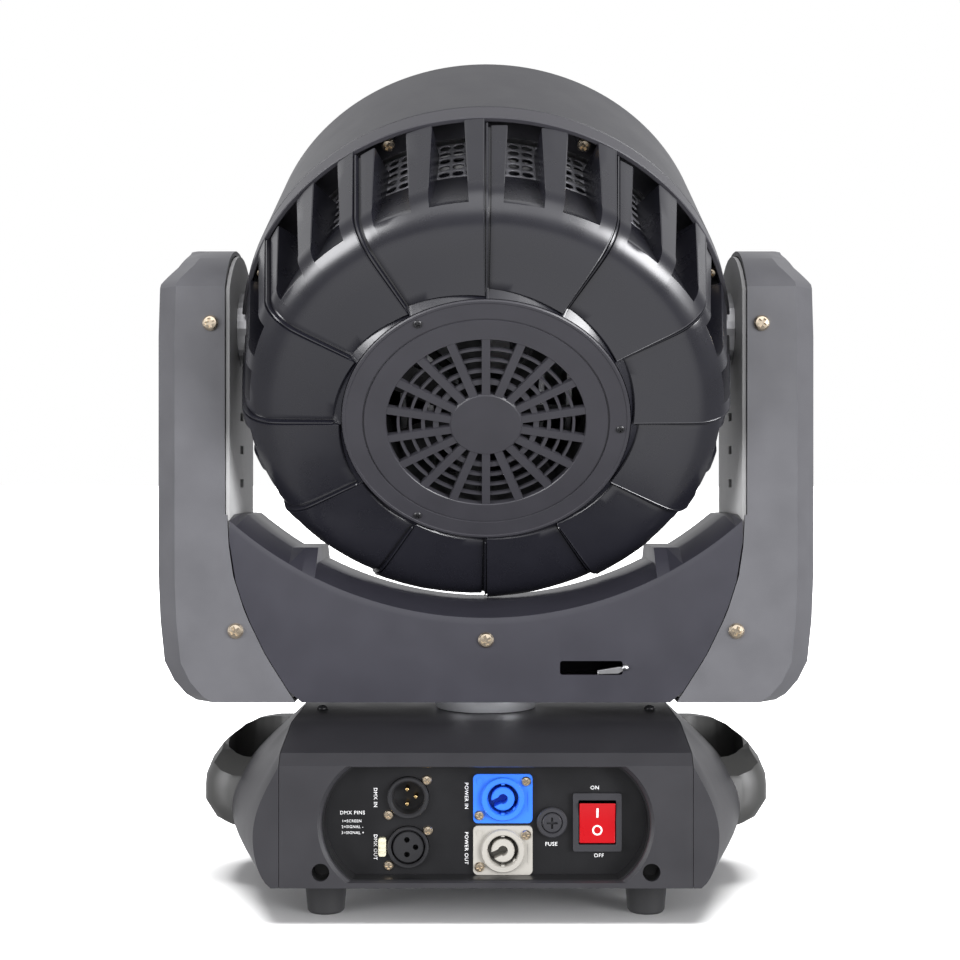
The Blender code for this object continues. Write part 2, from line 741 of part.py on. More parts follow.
def build_head(looks, head):
    solid(
        "head_shell",
        lathe(shell_solid_outline(), steps=60),
        looks["gloss"],
        parent=head,
        cuts=(vent_cutter(), pocket()),
    )
    slots = [
        turned(wedge(low, high, 6.2, DISC_U - 5, DISC_U + 10), turn * 20)
        for turn in range(18)
        for low, high in ((22, 37), (40, 55))
    ]
    disc = [(0, DISC_U), (20.3, DISC_U), (20.8, DISC_U + 1.2), (68, DISC_U + 1.2), (68.5, DISC_U)]
    disc += [(DISC_RADIUS, DISC_U), (DISC_RADIUS, DISC_U + 3.6), (0, DISC_U + 3.6)]
    solid("fan_grille", lathe(disc), looks["plastic"], parent=head, cuts=(together(slots),))
    frame_back = DISC_U + 4
    struts = []
    for quarter in range(4):
        strut = block((16, 59), (-2, 2), (frame_back + 22, frame_back + 25))
        struts.append(turned(strut, 45 + 90 * quarter))
    ring = [(57, frame_back), (62, frame_back), (62, frame_back + 25), (57, frame_back + 25)]
    solid(
        "fan_frame",
        lathe(ring),
        looks["plastic"],
        parent=head,
        joins=(together(struts), cylinder(18, frame_back + 21.5, frame_back + 25.5, steps=32)),
    )
    blades = []
    for i in range(7):
        blade = turned(block((16, 54), (-8, 8), (-0.8, 0.8)), 35, "X")
        blades.append(turned(shifted(blade, (0, 0, 10)), i * 360 / 7))
    solid(
        "fan_rotor",
        cylinder(18.5, 1, 20, steps=32),
        looks["plastic"],
        at=(0, 0, frame_back),
        parent=head,
        joins=(together(blades),),
    )
    fins = [
        block((x - 1.5, x + 1.5), (-half, half), (-58, 7))
        for x in range(-96, 97, 16)
        for half in [math.sqrt(108**2 - x * x)]
    ]
    sink = cylinder(117.5, 6, 12, steps=48)
    solid("heat_sink", sink, looks["aluminium"], parent=head, joins=(together(fins),))
    leds = [block((x - 5, x + 5), (y - 5, y + 5), (13, 16)) for x, y in lens_spots()]
    board = cylinder(116, 12.3, 14, steps=48)
    solid("led_board", board, looks["board"], parent=head, joins=(together(leds),))
    reach = (19, LENS_PLATE_U - 5, LENS_PLATE_U + 9)
    holes = [cylinder(*reach, steps=10, at=(x, y, 0)) for x, y in lens_spots()]
    solid(
        "lens_plate",
        cylinder(LENS_PLATE_RADIUS, LENS_PLATE_U, LENS_PLATE_U + 3, steps=48),
        looks["panel"],
        parent=head,
        cuts=(together(holes),),
    )
    dome = [(0, 3.3), (23.5, 3.3), (23.5, 7), (14, 11.6), (0, 13)]
    spots = [shifted(lathe(dome, steps=12), (x, y, LENS_PLATE_U + 1)) for x, y in lens_spots()]
    solid(
        "lens_array",
        cylinder(LENS_PLATE_RADIUS - 1, LENS_PLATE_U + 3.3, LENS_PLATE_U + 5.5, steps=48),
        looks["glass"],
        parent=head,
        joins=(together(spots),),
    )
    ring = [(119, -2), (133, -2), (133, 4), (119, 4)]
    pads = [cylinder(26.4, *ends, "X", 32) for ends in ((-139.2, -132), (132, 139.2))]
    solid("head_frame", lathe(ring), looks["steel"], parent=head, joins=(together(pads),))
    low, high = RIM_U
    rim = [(128, low), (RIM_RADIUS, low), (RIM_RADIUS, high - GAP), (128, high - GAP)]
    solid("rim_ring", lathe(rim, steps=60), looks["plastic"], parent=head, cuts=(pocket(),))
    front, depth = BEZEL_FRONT
    bezel = [(RIM_RADIUS - 4, high), (RIM_RADIUS, high), (front, depth)]
    bezel += [(129.5, depth), (129.5, depth - 3), (front - 4, depth - 4)]
    solid("front_bezel", lathe(bezel, steps=60), looks["plastic"], parent=head, cuts=(pocket(),))
    vent = [(VENT_RADIUS, -4.5), (VENT_RADIUS + 1, -4.5), (VENT_RADIUS + 1, -48), (VENT_RADIUS + 6, -80)]
    vent += [(VENT_RADIUS + 5, -80), (VENT_RADIUS, -48)]
    solid("vent_mesh", lathe(vent), looks["steel"], parent=head)
    for side, word in ((-1, "left"), (1, "right")):
        reach = 153 if side < 0 else 170
        face = PLATE_INNER_X - GAP
        shaft = [(0, 139.5), (22, 139.5), (22, face), (10, face), (10, reach), (0, reach)]
        body = lathe([(radius, side * x) for radius, x in shaft], "X", 32)
        solid(f"tilt_shaft_{word}", body, looks["steel"], parent=head)
    pulley = [(10 + GAP, 156), (TILT_PULLEY_RADIUS, 156), (TILT_PULLEY_RADIUS, 166), (10 + GAP, 166)]
    solid("tilt_pulley", lathe(pulley, "X", 32), looks["steel"], parent=head)


for item in list(bpy.data.objects):
    bpy.data.objects.remove(item)
PARTS = bpy.data.collections.new("moving_head_light")
CUTTERS = bpy.data.collections.new("cutters")
for collection in (PARTS, CUTTERS):
    bpy.context.scene.collection.children.link(collection)
CUTTERS.hide_render = True

LOOKS = {
    "plastic": look("charcoal_plastic", (0.045, 0.045, 0.05), roughness=0.5),
    "gloss": look("black_satin_plastic", (0.016, 0.016, 0.02), roughness=0.3),
    "saddle": look("slate_plastic", (0.06, 0.06, 0.072), roughness=0.5),
    "grey_plastic": look("grey_plastic", (0.11, 0.11, 0.105), roughness=0.55),
    "panel": look("black_painted_metal", (0.02, 0.02, 0.02), roughness=0.45),
    "grey_metal": look("grey_painted_metal", (0.30, 0.30, 0.29), roughness=0.5),
    "steel": look("steel", (0.55, 0.55, 0.56), metallic=1.0, roughness=0.35),
    "aluminium": look("aluminium", (0.7, 0.7, 0.72), metallic=1.0, roughness=0.4),
    "dark_metal": look("dark_zinc", (0.12, 0.12, 0.125), metallic=1.0, roughness=0.4),
    "motor": look("motor_black", (0.03, 0.03, 0.03), roughness=0.5),
    "rubber": look("black_rubber", (0.015, 0.015, 0.015), roughness=0.9),
    "board": look("circuit_board", (0.02, 0.12, 0.05), roughness=0.5),
    "glass": look("clear_glass", (0.75, 0.8, 0.82), roughness=0.05),
    "blue_plastic": look("blue_plastic", (0.02, 0.12, 0.45), roughness=0.4),
    "pale_plastic": look("pale_plastic", (0.62, 0.62, 0.6), roughness=0.45),
    "cream_plastic": look("cream_plastic", (0.7, 0.68, 0.55), roughness=0.5),
    "red_plastic": look("red_plastic", (0.55, 0.02, 0.02), roughness=0.35),
}

pan_axis = axis_empty("pan_axis", (0, 0, 0))
tilt_axis = axis_empty("tilt_axis", (0, 0, TILT_Z), pan_axis)
tilt_axis.rotation_euler.x = math.radians(TILT_REST_ELEVATION - 90)

build_base(LOOKS)
build_connectors(LOOKS)
build_display(LOOKS)
build_pan_drive(LOOKS, pan_axis)
build_yoke(LOOKS, pan_axis)
build_head(LOOKS, tilt_axis)
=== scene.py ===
"""Looks for a moving head light, seen from its connector side.

Shapes are written in millimetres in the frame of the CAD model and become metres when they are
placed. Head pieces are written about the tilt axis, with +Z along the lens axis and -Y towards the
top of the rear face.
"""

import json
import math

import bmesh
import bpy
from mathutils import Matrix, Vector


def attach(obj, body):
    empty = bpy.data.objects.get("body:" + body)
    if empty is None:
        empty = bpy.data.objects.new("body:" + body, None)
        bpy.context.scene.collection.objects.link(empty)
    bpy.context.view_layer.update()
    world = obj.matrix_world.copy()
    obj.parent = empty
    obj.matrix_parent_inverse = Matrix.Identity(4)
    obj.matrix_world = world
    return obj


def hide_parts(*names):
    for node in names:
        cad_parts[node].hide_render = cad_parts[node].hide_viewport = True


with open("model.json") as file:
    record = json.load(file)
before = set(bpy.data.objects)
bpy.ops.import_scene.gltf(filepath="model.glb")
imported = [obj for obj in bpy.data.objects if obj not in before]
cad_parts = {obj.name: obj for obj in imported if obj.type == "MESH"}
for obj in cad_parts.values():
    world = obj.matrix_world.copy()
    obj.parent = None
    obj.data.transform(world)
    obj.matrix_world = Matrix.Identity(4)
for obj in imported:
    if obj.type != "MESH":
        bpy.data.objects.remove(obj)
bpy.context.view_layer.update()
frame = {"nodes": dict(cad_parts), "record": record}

MM = 0.001

# Camera
CAMERA_DISTANCE = 967.0
CAMERA_HEIGHT = 217.0
CAMERA_LENS = 60.0
CAMERA_SHIFT = -0.00625
GROUND = -20.0

# Light: the room's brightness from straight down (0) to straight up (1), and its soft panels, each
# with a direction, the cosines of its outer and inner edge, and a brightness
ROOM_LIGHT = ((0.0, 0.3), (0.3, 0.22), (0.5, 0.3), (0.62, 0.3), (1.0, 0.42))
PANELS = (
    ((-0.8, -0.58, 0.1), (0.93, 0.985), 10.0),
    ((0.75, -0.65, 0.12), (0.93, 0.985), 16.0),
    ((0.0, -0.8, 0.6), (0.75, 0.95), 1.3),
    ((0.0, -0.6, -0.8), (0.885, 0.95), 0.55),
    ((0.0, 1.0, 0.1), (0.25, 0.8), 0.6),
)
OVERHEAD_STRENGTH = 14.0
OVERHEAD_SPREAD = 45.0
FLOOR_REACH = 60.0

# Head
TILT_Z = 307.6
REST_ELEVATION = 36.8
SECTOR = 30.0
DISC_U = -100.7
SHOULDER_CENTRE = (117.0, -79.0)
SHOULDER_SIZE = (19.5, 19.2)
WALL_TOP = (143.4, -18.0)
MESH_RADIUS = 125.0
MESH_U = (-46.0, -5.0)
RIM_U = (-17.0, -3.4)
BEZEL_FRONT = (137.0, 76.0)

HEAD = Matrix.Translation((0, 0, TILT_Z)) @ Matrix.Rotation(
    math.radians(REST_ELEVATION - 90), 4, "X"
)

# ---------------------------------------------------------------- shapes


def on_axis(axis, across, up, along):
    """A point from two values across an axis and one along it.

    Axis X takes (y, z) across it, Y takes (x, z) and Z takes (x, y).
    """
    return {"X": (along, across, up), "Y": (across, along, up), "Z": (across, up, along)}[axis]


def facing_out(mesh):
    bmesh.ops.recalc_face_normals(mesh, faces=mesh.faces)
    return mesh


def loft(sections, filled=True):
    """A body through equal-length closed loops of points."""
    mesh = bmesh.new()
    loops = [[mesh.verts.new(point) for point in section] for section in sections]
    count = len(loops[0])
    for near, far in zip(loops, loops[1:]):
        for i in range(count):
            j = (i + 1) % count
            mesh.faces.new((near[i], near[j], far[j], far[i]))
    if filled:
        mesh.faces.new(loops[0])
        mesh.faces.new(loops[-1])
    return facing_out(mesh)


def prism(outline, axis, start, end):
    return loft([[on_axis(axis, a, b, along) for a, b in outline] for along in (start, end)])


def box(x, y, z):
    return prism([(x[0], y[0]), (x[1], y[0]), (x[1], y[1]), (x[0], y[1])], "Z", *z)


def arc(centre, radius, first, last, steps):
    """Points of a circle between two angles in degrees."""
    turns = [math.radians(first + (last - first) * i / steps) for i in range(steps + 1)]
    return [(centre[0] + radius * math.cos(t), centre[1] + radius * math.sin(t)) for t in turns]


def circle(centre, radius, steps=32):
    return arc(centre, radius, 0, 360, steps)[:-1]


def rounded(centre, size, radius, steps=5):
    """A rectangle with rounded corners."""
    width, height = size[0] / 2 - radius, size[1] / 2 - radius
    points = []
    for a, b, first in ((1, 1, 0), (-1, 1, 90), (-1, -1, 180), (1, -1, 270)):
        points += arc(
            (centre[0] + a * width, centre[1] + b * height), radius, first, first + 90, steps
        )
    return points


def lathe(outline, axis="Z", steps=96, at=(0.0, 0.0, 0.0)):
    """A closed (radius, distance) outline turned about an axis through a point."""
    mesh = bmesh.new()
    rings = []
    for radius, along in outline:
        ring = circle((0, 0), radius, steps) if radius else [(0.0, 0.0)]
        rings.append([mesh.verts.new(on_axis(axis, a, b, along)) for a, b in ring])
    for near, far in zip(rings, rings[1:] + rings[:1]):
        for i in range(steps):
            j = (i + 1) % steps
            corners = (
                near[i % len(near)], near[j % len(near)], far[j % len(far)], far[i % len(far)]
            )
            distinct = list(dict.fromkeys(corners))
            if len(distinct) > 2:
                mesh.faces.new(distinct)
    bmesh.ops.translate(mesh, verts=mesh.verts, vec=at)
    return facing_out(mesh)


def moved(shape, matrix):
    shape.transform(matrix)
    return shape


def turned(shape, degrees, axis="Z"):
    return moved(shape, Matrix.Rotation(math.radians(degrees), 4, axis))


def shifted(shape, x=0.0, y=0.0, z=0.0):
    return moved(shape, Matrix.Translation((x, y, z)))


def together(shapes):
    """Several bodies as one mesh."""
    whole = bmesh.new()
    for shape in shapes:
        held = bpy.data.meshes.new("held")
        shape.to_mesh(held)
        whole.from_mesh(held)
        bpy.data.meshes.remove(held)
        shape.free()
    return whole


def between(pairs, value):
    """Straight-line reading of a list of (input, output) pairs, held at its ends."""
    if value <= pairs[0][0]:
        return pairs[0][1]
    for (low, first), (high, last) in zip(pairs, pairs[1:]):
        if value <= high:
            return first + (last - first) * (value - low) / (high - low)
    return pairs[-1][1]


def object_of(name, shape, place=None):
    shape.transform(Matrix.Scale(MM, 4) @ (place or Matrix.Identity(4)))
    data = bpy.data.meshes.new(name)
    shape.to_mesh(data)
    shape.free()
    made = bpy.data.objects.new(name, data)
    bpy.context.scene.collection.objects.link(made)
    return made


def cut(target, shapes, place=None):
    """Takes shapes away from an object, one after another, and leaves a plain mesh."""
    tools = []
    for shape in shapes:
        bmesh.ops.triangulate(shape, faces=shape.faces)
        tools.append(object_of("tool", facing_out(shape), place))
        modifier = target.modifiers.new("cut", "BOOLEAN")
        modifier.operation = "DIFFERENCE"
        modifier.solver = "EXACT"
        modifier.object = tools[-1]
    settle(target)
    for tool in tools:
        bpy.data.objects.remove(tool)


def settle(target):
    """Puts an object's modifiers into its mesh."""
    graph = bpy.context.evaluated_depsgraph_get()
    graph.update()
    mesh = bpy.data.meshes.new_from_object(target.evaluated_get(graph))
    target.modifiers.clear()
    target.data = mesh


def carved(name, shape, tools):
    """A shape with others taken away, back in millimetres."""
    held = object_of(name, shape)
    cut(held, tools)
    left = bmesh.new()
    left.from_mesh(held.data)
    left.transform(Matrix.Scale(1 / MM, 4))
    bpy.data.objects.remove(held)
    return left


def piece(
    name, shape, look, body, place=None, bevel=0.0, cuts=(), replaces=(), sharp=30.0
):
    """A shown piece: bevelled where its faces meet at an angle, shaded smooth elsewhere."""
    if cuts:
        bmesh.ops.triangulate(shape, faces=[face for face in shape.faces if len(face.verts) == 4])
        facing_out(shape)
    made = object_of(name, shape, place)
    if cuts:
        cut(made, cuts, place)
    made.data.materials.clear()
    made.data.materials.append(LOOKS[look])
    dress(made, bevel, sharp)
    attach(made, body)
    if replaces:
        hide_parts(*replaces)
    return made


def dress(target, bevel, sharp):
    target.data.shade_smooth()
    if bevel:
        modifier = target.modifiers.new("edges", "BEVEL")
        modifier.width = bevel * MM
        modifier.segments = 2
        modifier.limit_method = "ANGLE"
        modifier.angle_limit = math.radians(sharp)
        modifier.harden_normals = True
        modifier.use_clamp_overlap = True
    else:
        target.data.set_sharp_from_angle(angle=math.radians(sharp))


# ---------------------------------------------------------------- finishes


def noise(tree, place, size, detail=4.0):
    """A noise texture whose features are about size millimetres across."""
    made = tree.nodes.new("ShaderNodeTexNoise")
    made.inputs["Scale"].default_value = 1 / (size * MM)
    made.inputs["Detail"].default_value = detail
    tree.links.new(place.outputs["Object"], made.inputs["Vector"])
    return made


def finish(
    name,
    colour,
    metallic=0.0,
    roughness=0.5,
    mottle=0.08,
    grain=0.5,
    relief=0.25,
    shine=0.5,
    sweep=0.06,
):
    """A procedural finish: clouded colour and roughness, with a fine surface grain in relief."""
    made = bpy.data.materials.new(name)
    made.use_nodes = True
    tree = made.node_tree
    shader = tree.nodes["Principled BSDF"]
    shader.inputs["Metallic"].default_value = metallic
    shader.inputs["Specular IOR Level"].default_value = shine
    place = tree.nodes.new("ShaderNodeTexCoord")
    cloud = noise(tree, place, 22.0, 6.0)
    ramp = tree.nodes.new("ShaderNodeValToRGB")
    for element, position, share in zip(
        ramp.color_ramp.elements, (0.3, 0.7), (1 - mottle, 1 + mottle)
    ):
        element.position = position
        element.color = (*[value * share for value in colour], 1.0)
    tree.links.new(cloud.outputs["Fac"], ramp.inputs["Fac"])
    tree.links.new(ramp.outputs["Color"], shader.inputs["Base Color"])
    speck = noise(tree, place, grain)
    spread = tree.nodes.new("ShaderNodeMapRange")
    spread.inputs["To Min"].default_value = max(roughness - sweep, 0.02)
    spread.inputs["To Max"].default_value = min(roughness + sweep, 1.0)
    tree.links.new(cloud.outputs["Fac"], spread.inputs["Value"])
    tree.links.new(spread.outputs["Result"], shader.inputs["Roughness"])
    bump = tree.nodes.new("ShaderNodeBump")
    bump.inputs["Strength"].default_value = relief
    bump.inputs["Distance"].default_value = 0.05 * MM
    tree.links.new(speck.outputs["Fac"], bump.inputs["Height"])
    tree.links.new(bump.outputs["Normal"], shader.inputs["Normal"])
    return made


LOOKS = {
    "plastic": finish(
        "moulded_charcoal", (0.026, 0.026, 0.03), roughness=0.42, grain=0.45, relief=0.35
    ),
    "arm": finish("arm_charcoal", (0.1, 0.1, 0.108), roughness=0.42, grain=0.45, relief=0.35),
    "gloss": finish("satin_black", (0.011, 0.011, 0.016), roughness=0.28, relief=0.12, shine=1.0),
    "disc": finish("grille_black", (0.04, 0.039, 0.046), roughness=0.38, relief=0.25),
    "saddle": finish("slate_plastic", (0.026, 0.0255, 0.034), roughness=0.4, grain=0.4, relief=0.3),
    "base": finish(
        "base_charcoal", (0.025, 0.0245, 0.028), roughness=0.42, grain=0.45, relief=0.35
    ),
    "grey": finish("grey_plastic", (0.052, 0.052, 0.05), roughness=0.45, relief=0.3),
    "panel": finish(
        "painted_panel", (0.008, 0.008, 0.009), roughness=0.32, grain=0.8, relief=0.3, mottle=0.2
    ),
    "plate": finish("painted_plate", (0.5, 0.5, 0.495), roughness=0.5),
    "steel": finish("steel", (0.56, 0.56, 0.57), metallic=1.0, roughness=0.3, relief=0.1),
    # Steel for the pan collar, part metal and part pale diffuse colour: the pale diffuse share is a
    # painted reflection of a bright room.
    "chrome": finish("steel_with_painted_reflection", (0.8, 0.81, 0.84), metallic=0.7, roughness=0.34, relief=0.05),
    "nickel": finish("nickel_plate", (0.8, 0.68, 0.52), metallic=1.0, roughness=0.24, relief=0.05),
    "brass": finish("gold_plate", (0.78, 0.55, 0.25), metallic=1.0, roughness=0.22, relief=0.05),
    "aluminium": finish("aluminium", (0.7, 0.7, 0.72), metallic=1.0, roughness=0.4),
    # Dark metal of the connectors and small screws; its colour is made darker than the metal alone,
    # painted shade for the deep connector shrouds.
    "zinc": finish("dark_zinc", (0.026, 0.026, 0.028), metallic=0.2, roughness=0.32, relief=0.15),
    "mesh": finish(
        "perforated_steel", (0.17, 0.17, 0.185), metallic=0.3, roughness=0.45, relief=0.2
    ),
    # Near-black finish: painted shade standing for the dark inside of the head, not a real colour.
    "painted_shade": finish("painted_shade_black", (0.006, 0.006, 0.007), roughness=0.8),
    "motor": finish("motor_black", (0.03, 0.03, 0.03), roughness=0.5),
    "rubber": finish("black_rubber", (0.010, 0.010, 0.011), roughness=0.75, grain=0.8, relief=0.5),
    "board": finish("circuit_board", (0.02, 0.12, 0.05), roughness=0.45),
    "glass": finish(
        "lens_glass", (0.62, 0.66, 0.7), roughness=0.07, relief=0.03, shine=0.8, sweep=0.02
    ),
    "screen": finish(
        "screen_glass", (0.012, 0.014, 0.02), roughness=0.08, relief=0.02, shine=0.8, sweep=0.02
    ),
    "blue": finish("blue_plastic", (0.03, 0.17, 0.78), roughness=0.36, relief=0.15, mottle=0.05),
    "pale": finish("pale_plastic", (0.38, 0.365, 0.33), roughness=0.42, relief=0.15, mottle=0.04),
    "cream": finish("cream_plastic", (0.62, 0.59, 0.44), roughness=0.45, relief=0.15, mottle=0.05),
    "red": finish("red_plastic", (0.42, 0.001, 0.005), roughness=0.28, relief=0.08, mottle=0.05),
    "ink": finish("white_ink", (0.82, 0.82, 0.82), roughness=0.6, mottle=0.03),
}

SLOT_LOOKS = {
    "plastic": "base",
    "gloss": "gloss",
    "saddle": "saddle",
    "grey_plastic": "grey",
    "panel": "panel",
    "grey_metal": "plate",
    "steel": "steel",
    "aluminium": "aluminium",
    "dark_metal": "zinc",
    "motor": "motor",
    "rubber": "rubber",
    "board": "board",
    "glass": "glass",
    "blue_plastic": "blue",
    "pale_plastic": "pale",
    "cream_plastic": "cream",
    "red_plastic": "red",
}


# The fan's frame and rotor are coloured almost black: painted shade for the unlit inside of the
# head behind the grille.
BEHIND_GRILLE = ("fan_frame", "fan_rotor")


def dress_frame():
    """Gives every node of the CAD model the procedural finish of its record slot; the fan parts
    behind the grille get a near-black finish instead, painted shade for the dark inside of the
    head.
    """
    for part in frame["record"]["subparts"]:
        node = frame["nodes"][part["node"]]
        look = "painted_shade" if part["node"] in BEHIND_GRILLE else SLOT_LOOKS[part["material_slot"]]
        node.data.materials.clear()
        node.data.materials.append(LOOKS[look])


# ---------------------------------------------------------------- small parts


def screw_shape(radius, height):
    """A pan-head screw along +Z with a cross recess, its seat at z = 0."""
    head = lathe(
        [(0, -1), (radius, -1), (radius, height * 0.35), (radius * 0.8, height * 0.8), (0, height)],
        steps=24,
    )
    arm, width = radius * 0.62, radius * 0.2
    depth = (height * 0.1, height + 1)
    recess = [box((-arm, arm), (-width, width), depth), box((-width, width), (-arm, arm), depth)]
    return carved("head", head, recess)


def toward(point, direction, spin=20.0):
    """A place whose +Z looks along a direction."""
    aim = Vector(direction).to_track_quat("Z", "Y").to_matrix().to_4x4()
    return Matrix.Translation(point) @ aim @ Matrix.Rotation(math.radians(spin), 4, "Z")


def screws(name, radius, height, places, body, look="nickel", place=None):
    pattern = screw_shape(radius, height)
    copies = [moved(pattern.copy(), spot) for spot in places]
    pattern.free()
    return piece(name, together(copies), look, body, place)


def text_shape(words, height, depth=0.12):
    """Lettering in the X-Y plane, centred, its capitals height millimetres tall."""
    curve = bpy.data.curves.new("words", "FONT")
    curve.body = words
    curve.size = height / 0.76
    curve.extrude = depth
    curve.offset = height * 0.006
    curve.space_character = 1.12
    curve.align_x = "CENTER"
    curve.align_y = "CENTER"
    curve.resolution_u = 3
    held = bpy.data.objects.new("words", curve)
    bpy.context.scene.collection.objects.link(held)
    graph = bpy.context.evaluated_depsgraph_get()
    graph.update()
    mesh = bpy.data.meshes.new_from_object(held.evaluated_get(graph))
    shape = bmesh.new()
    shape.from_mesh(mesh)
    bpy.data.objects.remove(held)
    bpy.data.meshes.remove(mesh)
    return shape


# ---------------------------------------------------------------- head

SHELL_PETAL = ((1.2, -1.1), (29.4, 1.2))
SHELL_SEAM = ((0.0, -0.5), (0.07, 0.7), (0.42, 0.6), (0.52, -2.0), (1.05, -2.2), (1.18, -1.2))
SHELL_LIP = ((29.5, 1.4), (29.66, 1.4), (29.74, -0.4))
SLOTS = ((4.8, 12.2), (18.2, 25.3))
SLOT_SPREAD = 0.9
FIN_TOPS = ((0.0, -22.0), (8.5, -20.0), (21.7, -18.0))
FIN_EDGE = 0.35
RAMP = ((131.9, -91.3), (125.4, -48.3))
RAMP_SHARES = (0.03, 0.14, 0.26, 0.4, 0.55, 0.8, 1.0)
SLOT_LEAN = ((2.7, 0), (4.8, -1), (12.2, 1), (15.2, 0), (18.2, -1), (25.3, 1), (27.5, 0))
BARREL_RADIUS = 119.0
RIM_SCREW_TURNS = (23, 70, 110, 157, 203, 250, 290, 337)
RIM_SCREW_RADIUS = 138.0
GRILLE_SCREW_TURNS = (92, 212, 331)
GRILLE_BARS = 18
GRILLE_RINGS = ((26.3, 29.4), (34.0, 36.0), (41.3, 42.8), (48.0, 49.5))


def shell_columns():
    """(turn, lift, in a slot, edge drop) for one sector, in degrees clockwise from its seam."""
    columns = [(turn, lift, False, 0.0) for turn, lift in SHELL_SEAM + SHELL_LIP]
    turns = [1.4, 2.7, 15.2, 27.5, 29.1, 29.4]
    for start, end in SLOTS:
        turns += [
            start - 0.28, start, start + 0.06, start + 2.5, end - 2.5, end - 0.06, end, end + 0.28
        ]
    for turn in turns:
        inside = any(start < turn < end for start, end in SLOTS)
        edge = FIN_EDGE if any(turn in span for span in SLOTS) else 0.0
        columns.append((turn, between(SHELL_PETAL, turn), inside, edge))
    return sorted(columns)


def slot_spread(turn, u):
    """How far a slot's edges move apart towards the shoulder."""
    sideways = between(SLOT_LEAN, turn)
    depth = between([(-98.0, 0.0), (RAMP[0][1], 1.0), (WALL_TOP[1], 0.0)], u)
    return SLOT_SPREAD * sideways * depth


def shell_profile(turn, slot, edge):
    """Points from the disc over the shoulder and back inside.

    Each is (radius, u, outward radius, outward u, share of the petal's lift).
    """
    inner = between([(1.2, 84.9), (29.4, 81.2)], turn)
    points = [
        (80.4, -94.0, 0, -1, 0.0), (80.4, -99.9, 0, -1, 0.0), (inner - 0.3, -97.4, 0, -1, 0.4)
    ]
    points += [(inner, -98.0, 0, -1, 0.8), (inner + 0.7, -98.5, 0, -1, 1.0)]
    points += [(radius, -98.4, 0, -1, 1.0) for radius in (90, 98, 106, 112)]
    for step in range(10):
        angle = math.radians(90 - 10 * step)
        across = SHOULDER_CENTRE[0] + SHOULDER_SIZE[0] * math.cos(angle)
        along = SHOULDER_CENTRE[1] - SHOULDER_SIZE[1] * math.sin(angle)
        points.append((across, along, math.cos(angle), -math.sin(angle), 1.0))
    if slot:
        points = points[:-4]
        for share in RAMP_SHARES:
            ramp = [near + (far - near) * share for near, far in zip(*RAMP)]
            points.append((*ramp, 1, 0, 0.0))
        points += [(BARREL_RADIUS, u, 1, 0, 0.0) for u in (-47.6, -36.0, -24.0)]
    else:
        top = between(FIN_TOPS, turn)
        root = (SHOULDER_CENTRE[0] + SHOULDER_SIZE[0], SHOULDER_CENTRE[1])
        for share in (0.04, 0.28, 0.52, 0.76, 1.0):
            radius = root[0] + (WALL_TOP[0] - root[0]) * share
            points.append((radius - edge, root[1] + (top - root[1]) * share, 1, 0, 1.0))
        points.append((WALL_TOP[0] - 0.6 - edge, top + 0.5, 1, 0, 1.0))
    level = between(FIN_TOPS, turn) + 0.5
    lining = [(124.6, level), (BARREL_RADIUS, level + 0.3), (BARREL_RADIUS, -4.0)]
    lining += [(116.0, -4.0), (116.0, -80.0), (112.0, -94.0), (100.0, -94.6)]
    return points + [(radius, u, 1, 0, 0.0) for radius, u in lining]


def head_point(turn, radius, u):
    """A point of the head from its clock angle seen from behind, radius and place on the axis."""
    angle = math.radians(turn)
    return (radius * math.sin(angle), -radius * math.cos(angle), u)


def shell_shape():
    """The rear shell: twelve overlapping petals with grooves between and two slots in each."""
    rings = []
    for sector in range(12):
        for turn, lift, slot, edge in shell_columns():
            ring = []
            for radius, u, out, along, share in shell_profile(turn, slot, edge):
                away = (radius + out * lift * share, u + along * lift * share)
                ring.append(head_point(sector * SECTOR + turn + slot_spread(turn, u), *away))
            rings.append(ring)
    return wound(rings)


def wound(rings):
    """A closed body from closed rings that follow one another round an axis."""
    mesh = bmesh.new()
    loops = [[mesh.verts.new(point) for point in ring] for ring in rings]
    count = len(loops[0])
    for near, far in zip(loops, loops[1:] + loops[:1]):
        for i in range(count):
            j = (i + 1) % count
            mesh.faces.new((near[i], near[j], far[j], far[i]))
    return facing_out(mesh)


def mesh_shape(columns=104, rows=5, hole=3.2):
    """A perforated band round the head: each cell is a square with a round hole."""
    low, high = MESH_U
    turn, rise = 360 / columns, (high - low) / rows
    rim = [(-1, -1), (-1 / 3, -1), (1 / 3, -1), (1, -1), (1, -1 / 3), (1, 1 / 3)]
    rim += [(-a, -b) for a, b in rim]
    mesh = bmesh.new()
    for row in range(rows):
        for column in range(columns):
            centre = (column * turn, low + rise * (row + 0.5))
            outside = []
            inside = []
            for a, b in rim:
                corner = head_point(centre[0] + a * turn / 2, MESH_RADIUS, centre[1] + b * rise / 2)
                outside.append(mesh.verts.new(corner))
                reach = hole / math.hypot(a, b)
                across = math.degrees(a * reach / MESH_RADIUS)
                edge = head_point(centre[0] + across, MESH_RADIUS, centre[1] + b * reach)
                inside.append(mesh.verts.new(edge))
            for i in range(len(rim)):
                j = (i + 1) % len(rim)
                mesh.faces.new((outside[i], outside[j], inside[j], inside[i]))
    bmesh.ops.remove_doubles(mesh, verts=mesh.verts, dist=0.02)
    return mesh


def pockets():
    """The room round both tilt shafts."""
    return [
        lathe([(0, a), (27, a), (27, b), (0, b)], "X", 64)
        for a, b in ((-160, -131.7), (131.7, 160))
    ]


def bar(width, inner, outer, low, high, turn):
    """A straight radial bar of the grille."""
    return turned(box((-width / 2, width / 2), (inner, outer), (low, high)), turn)


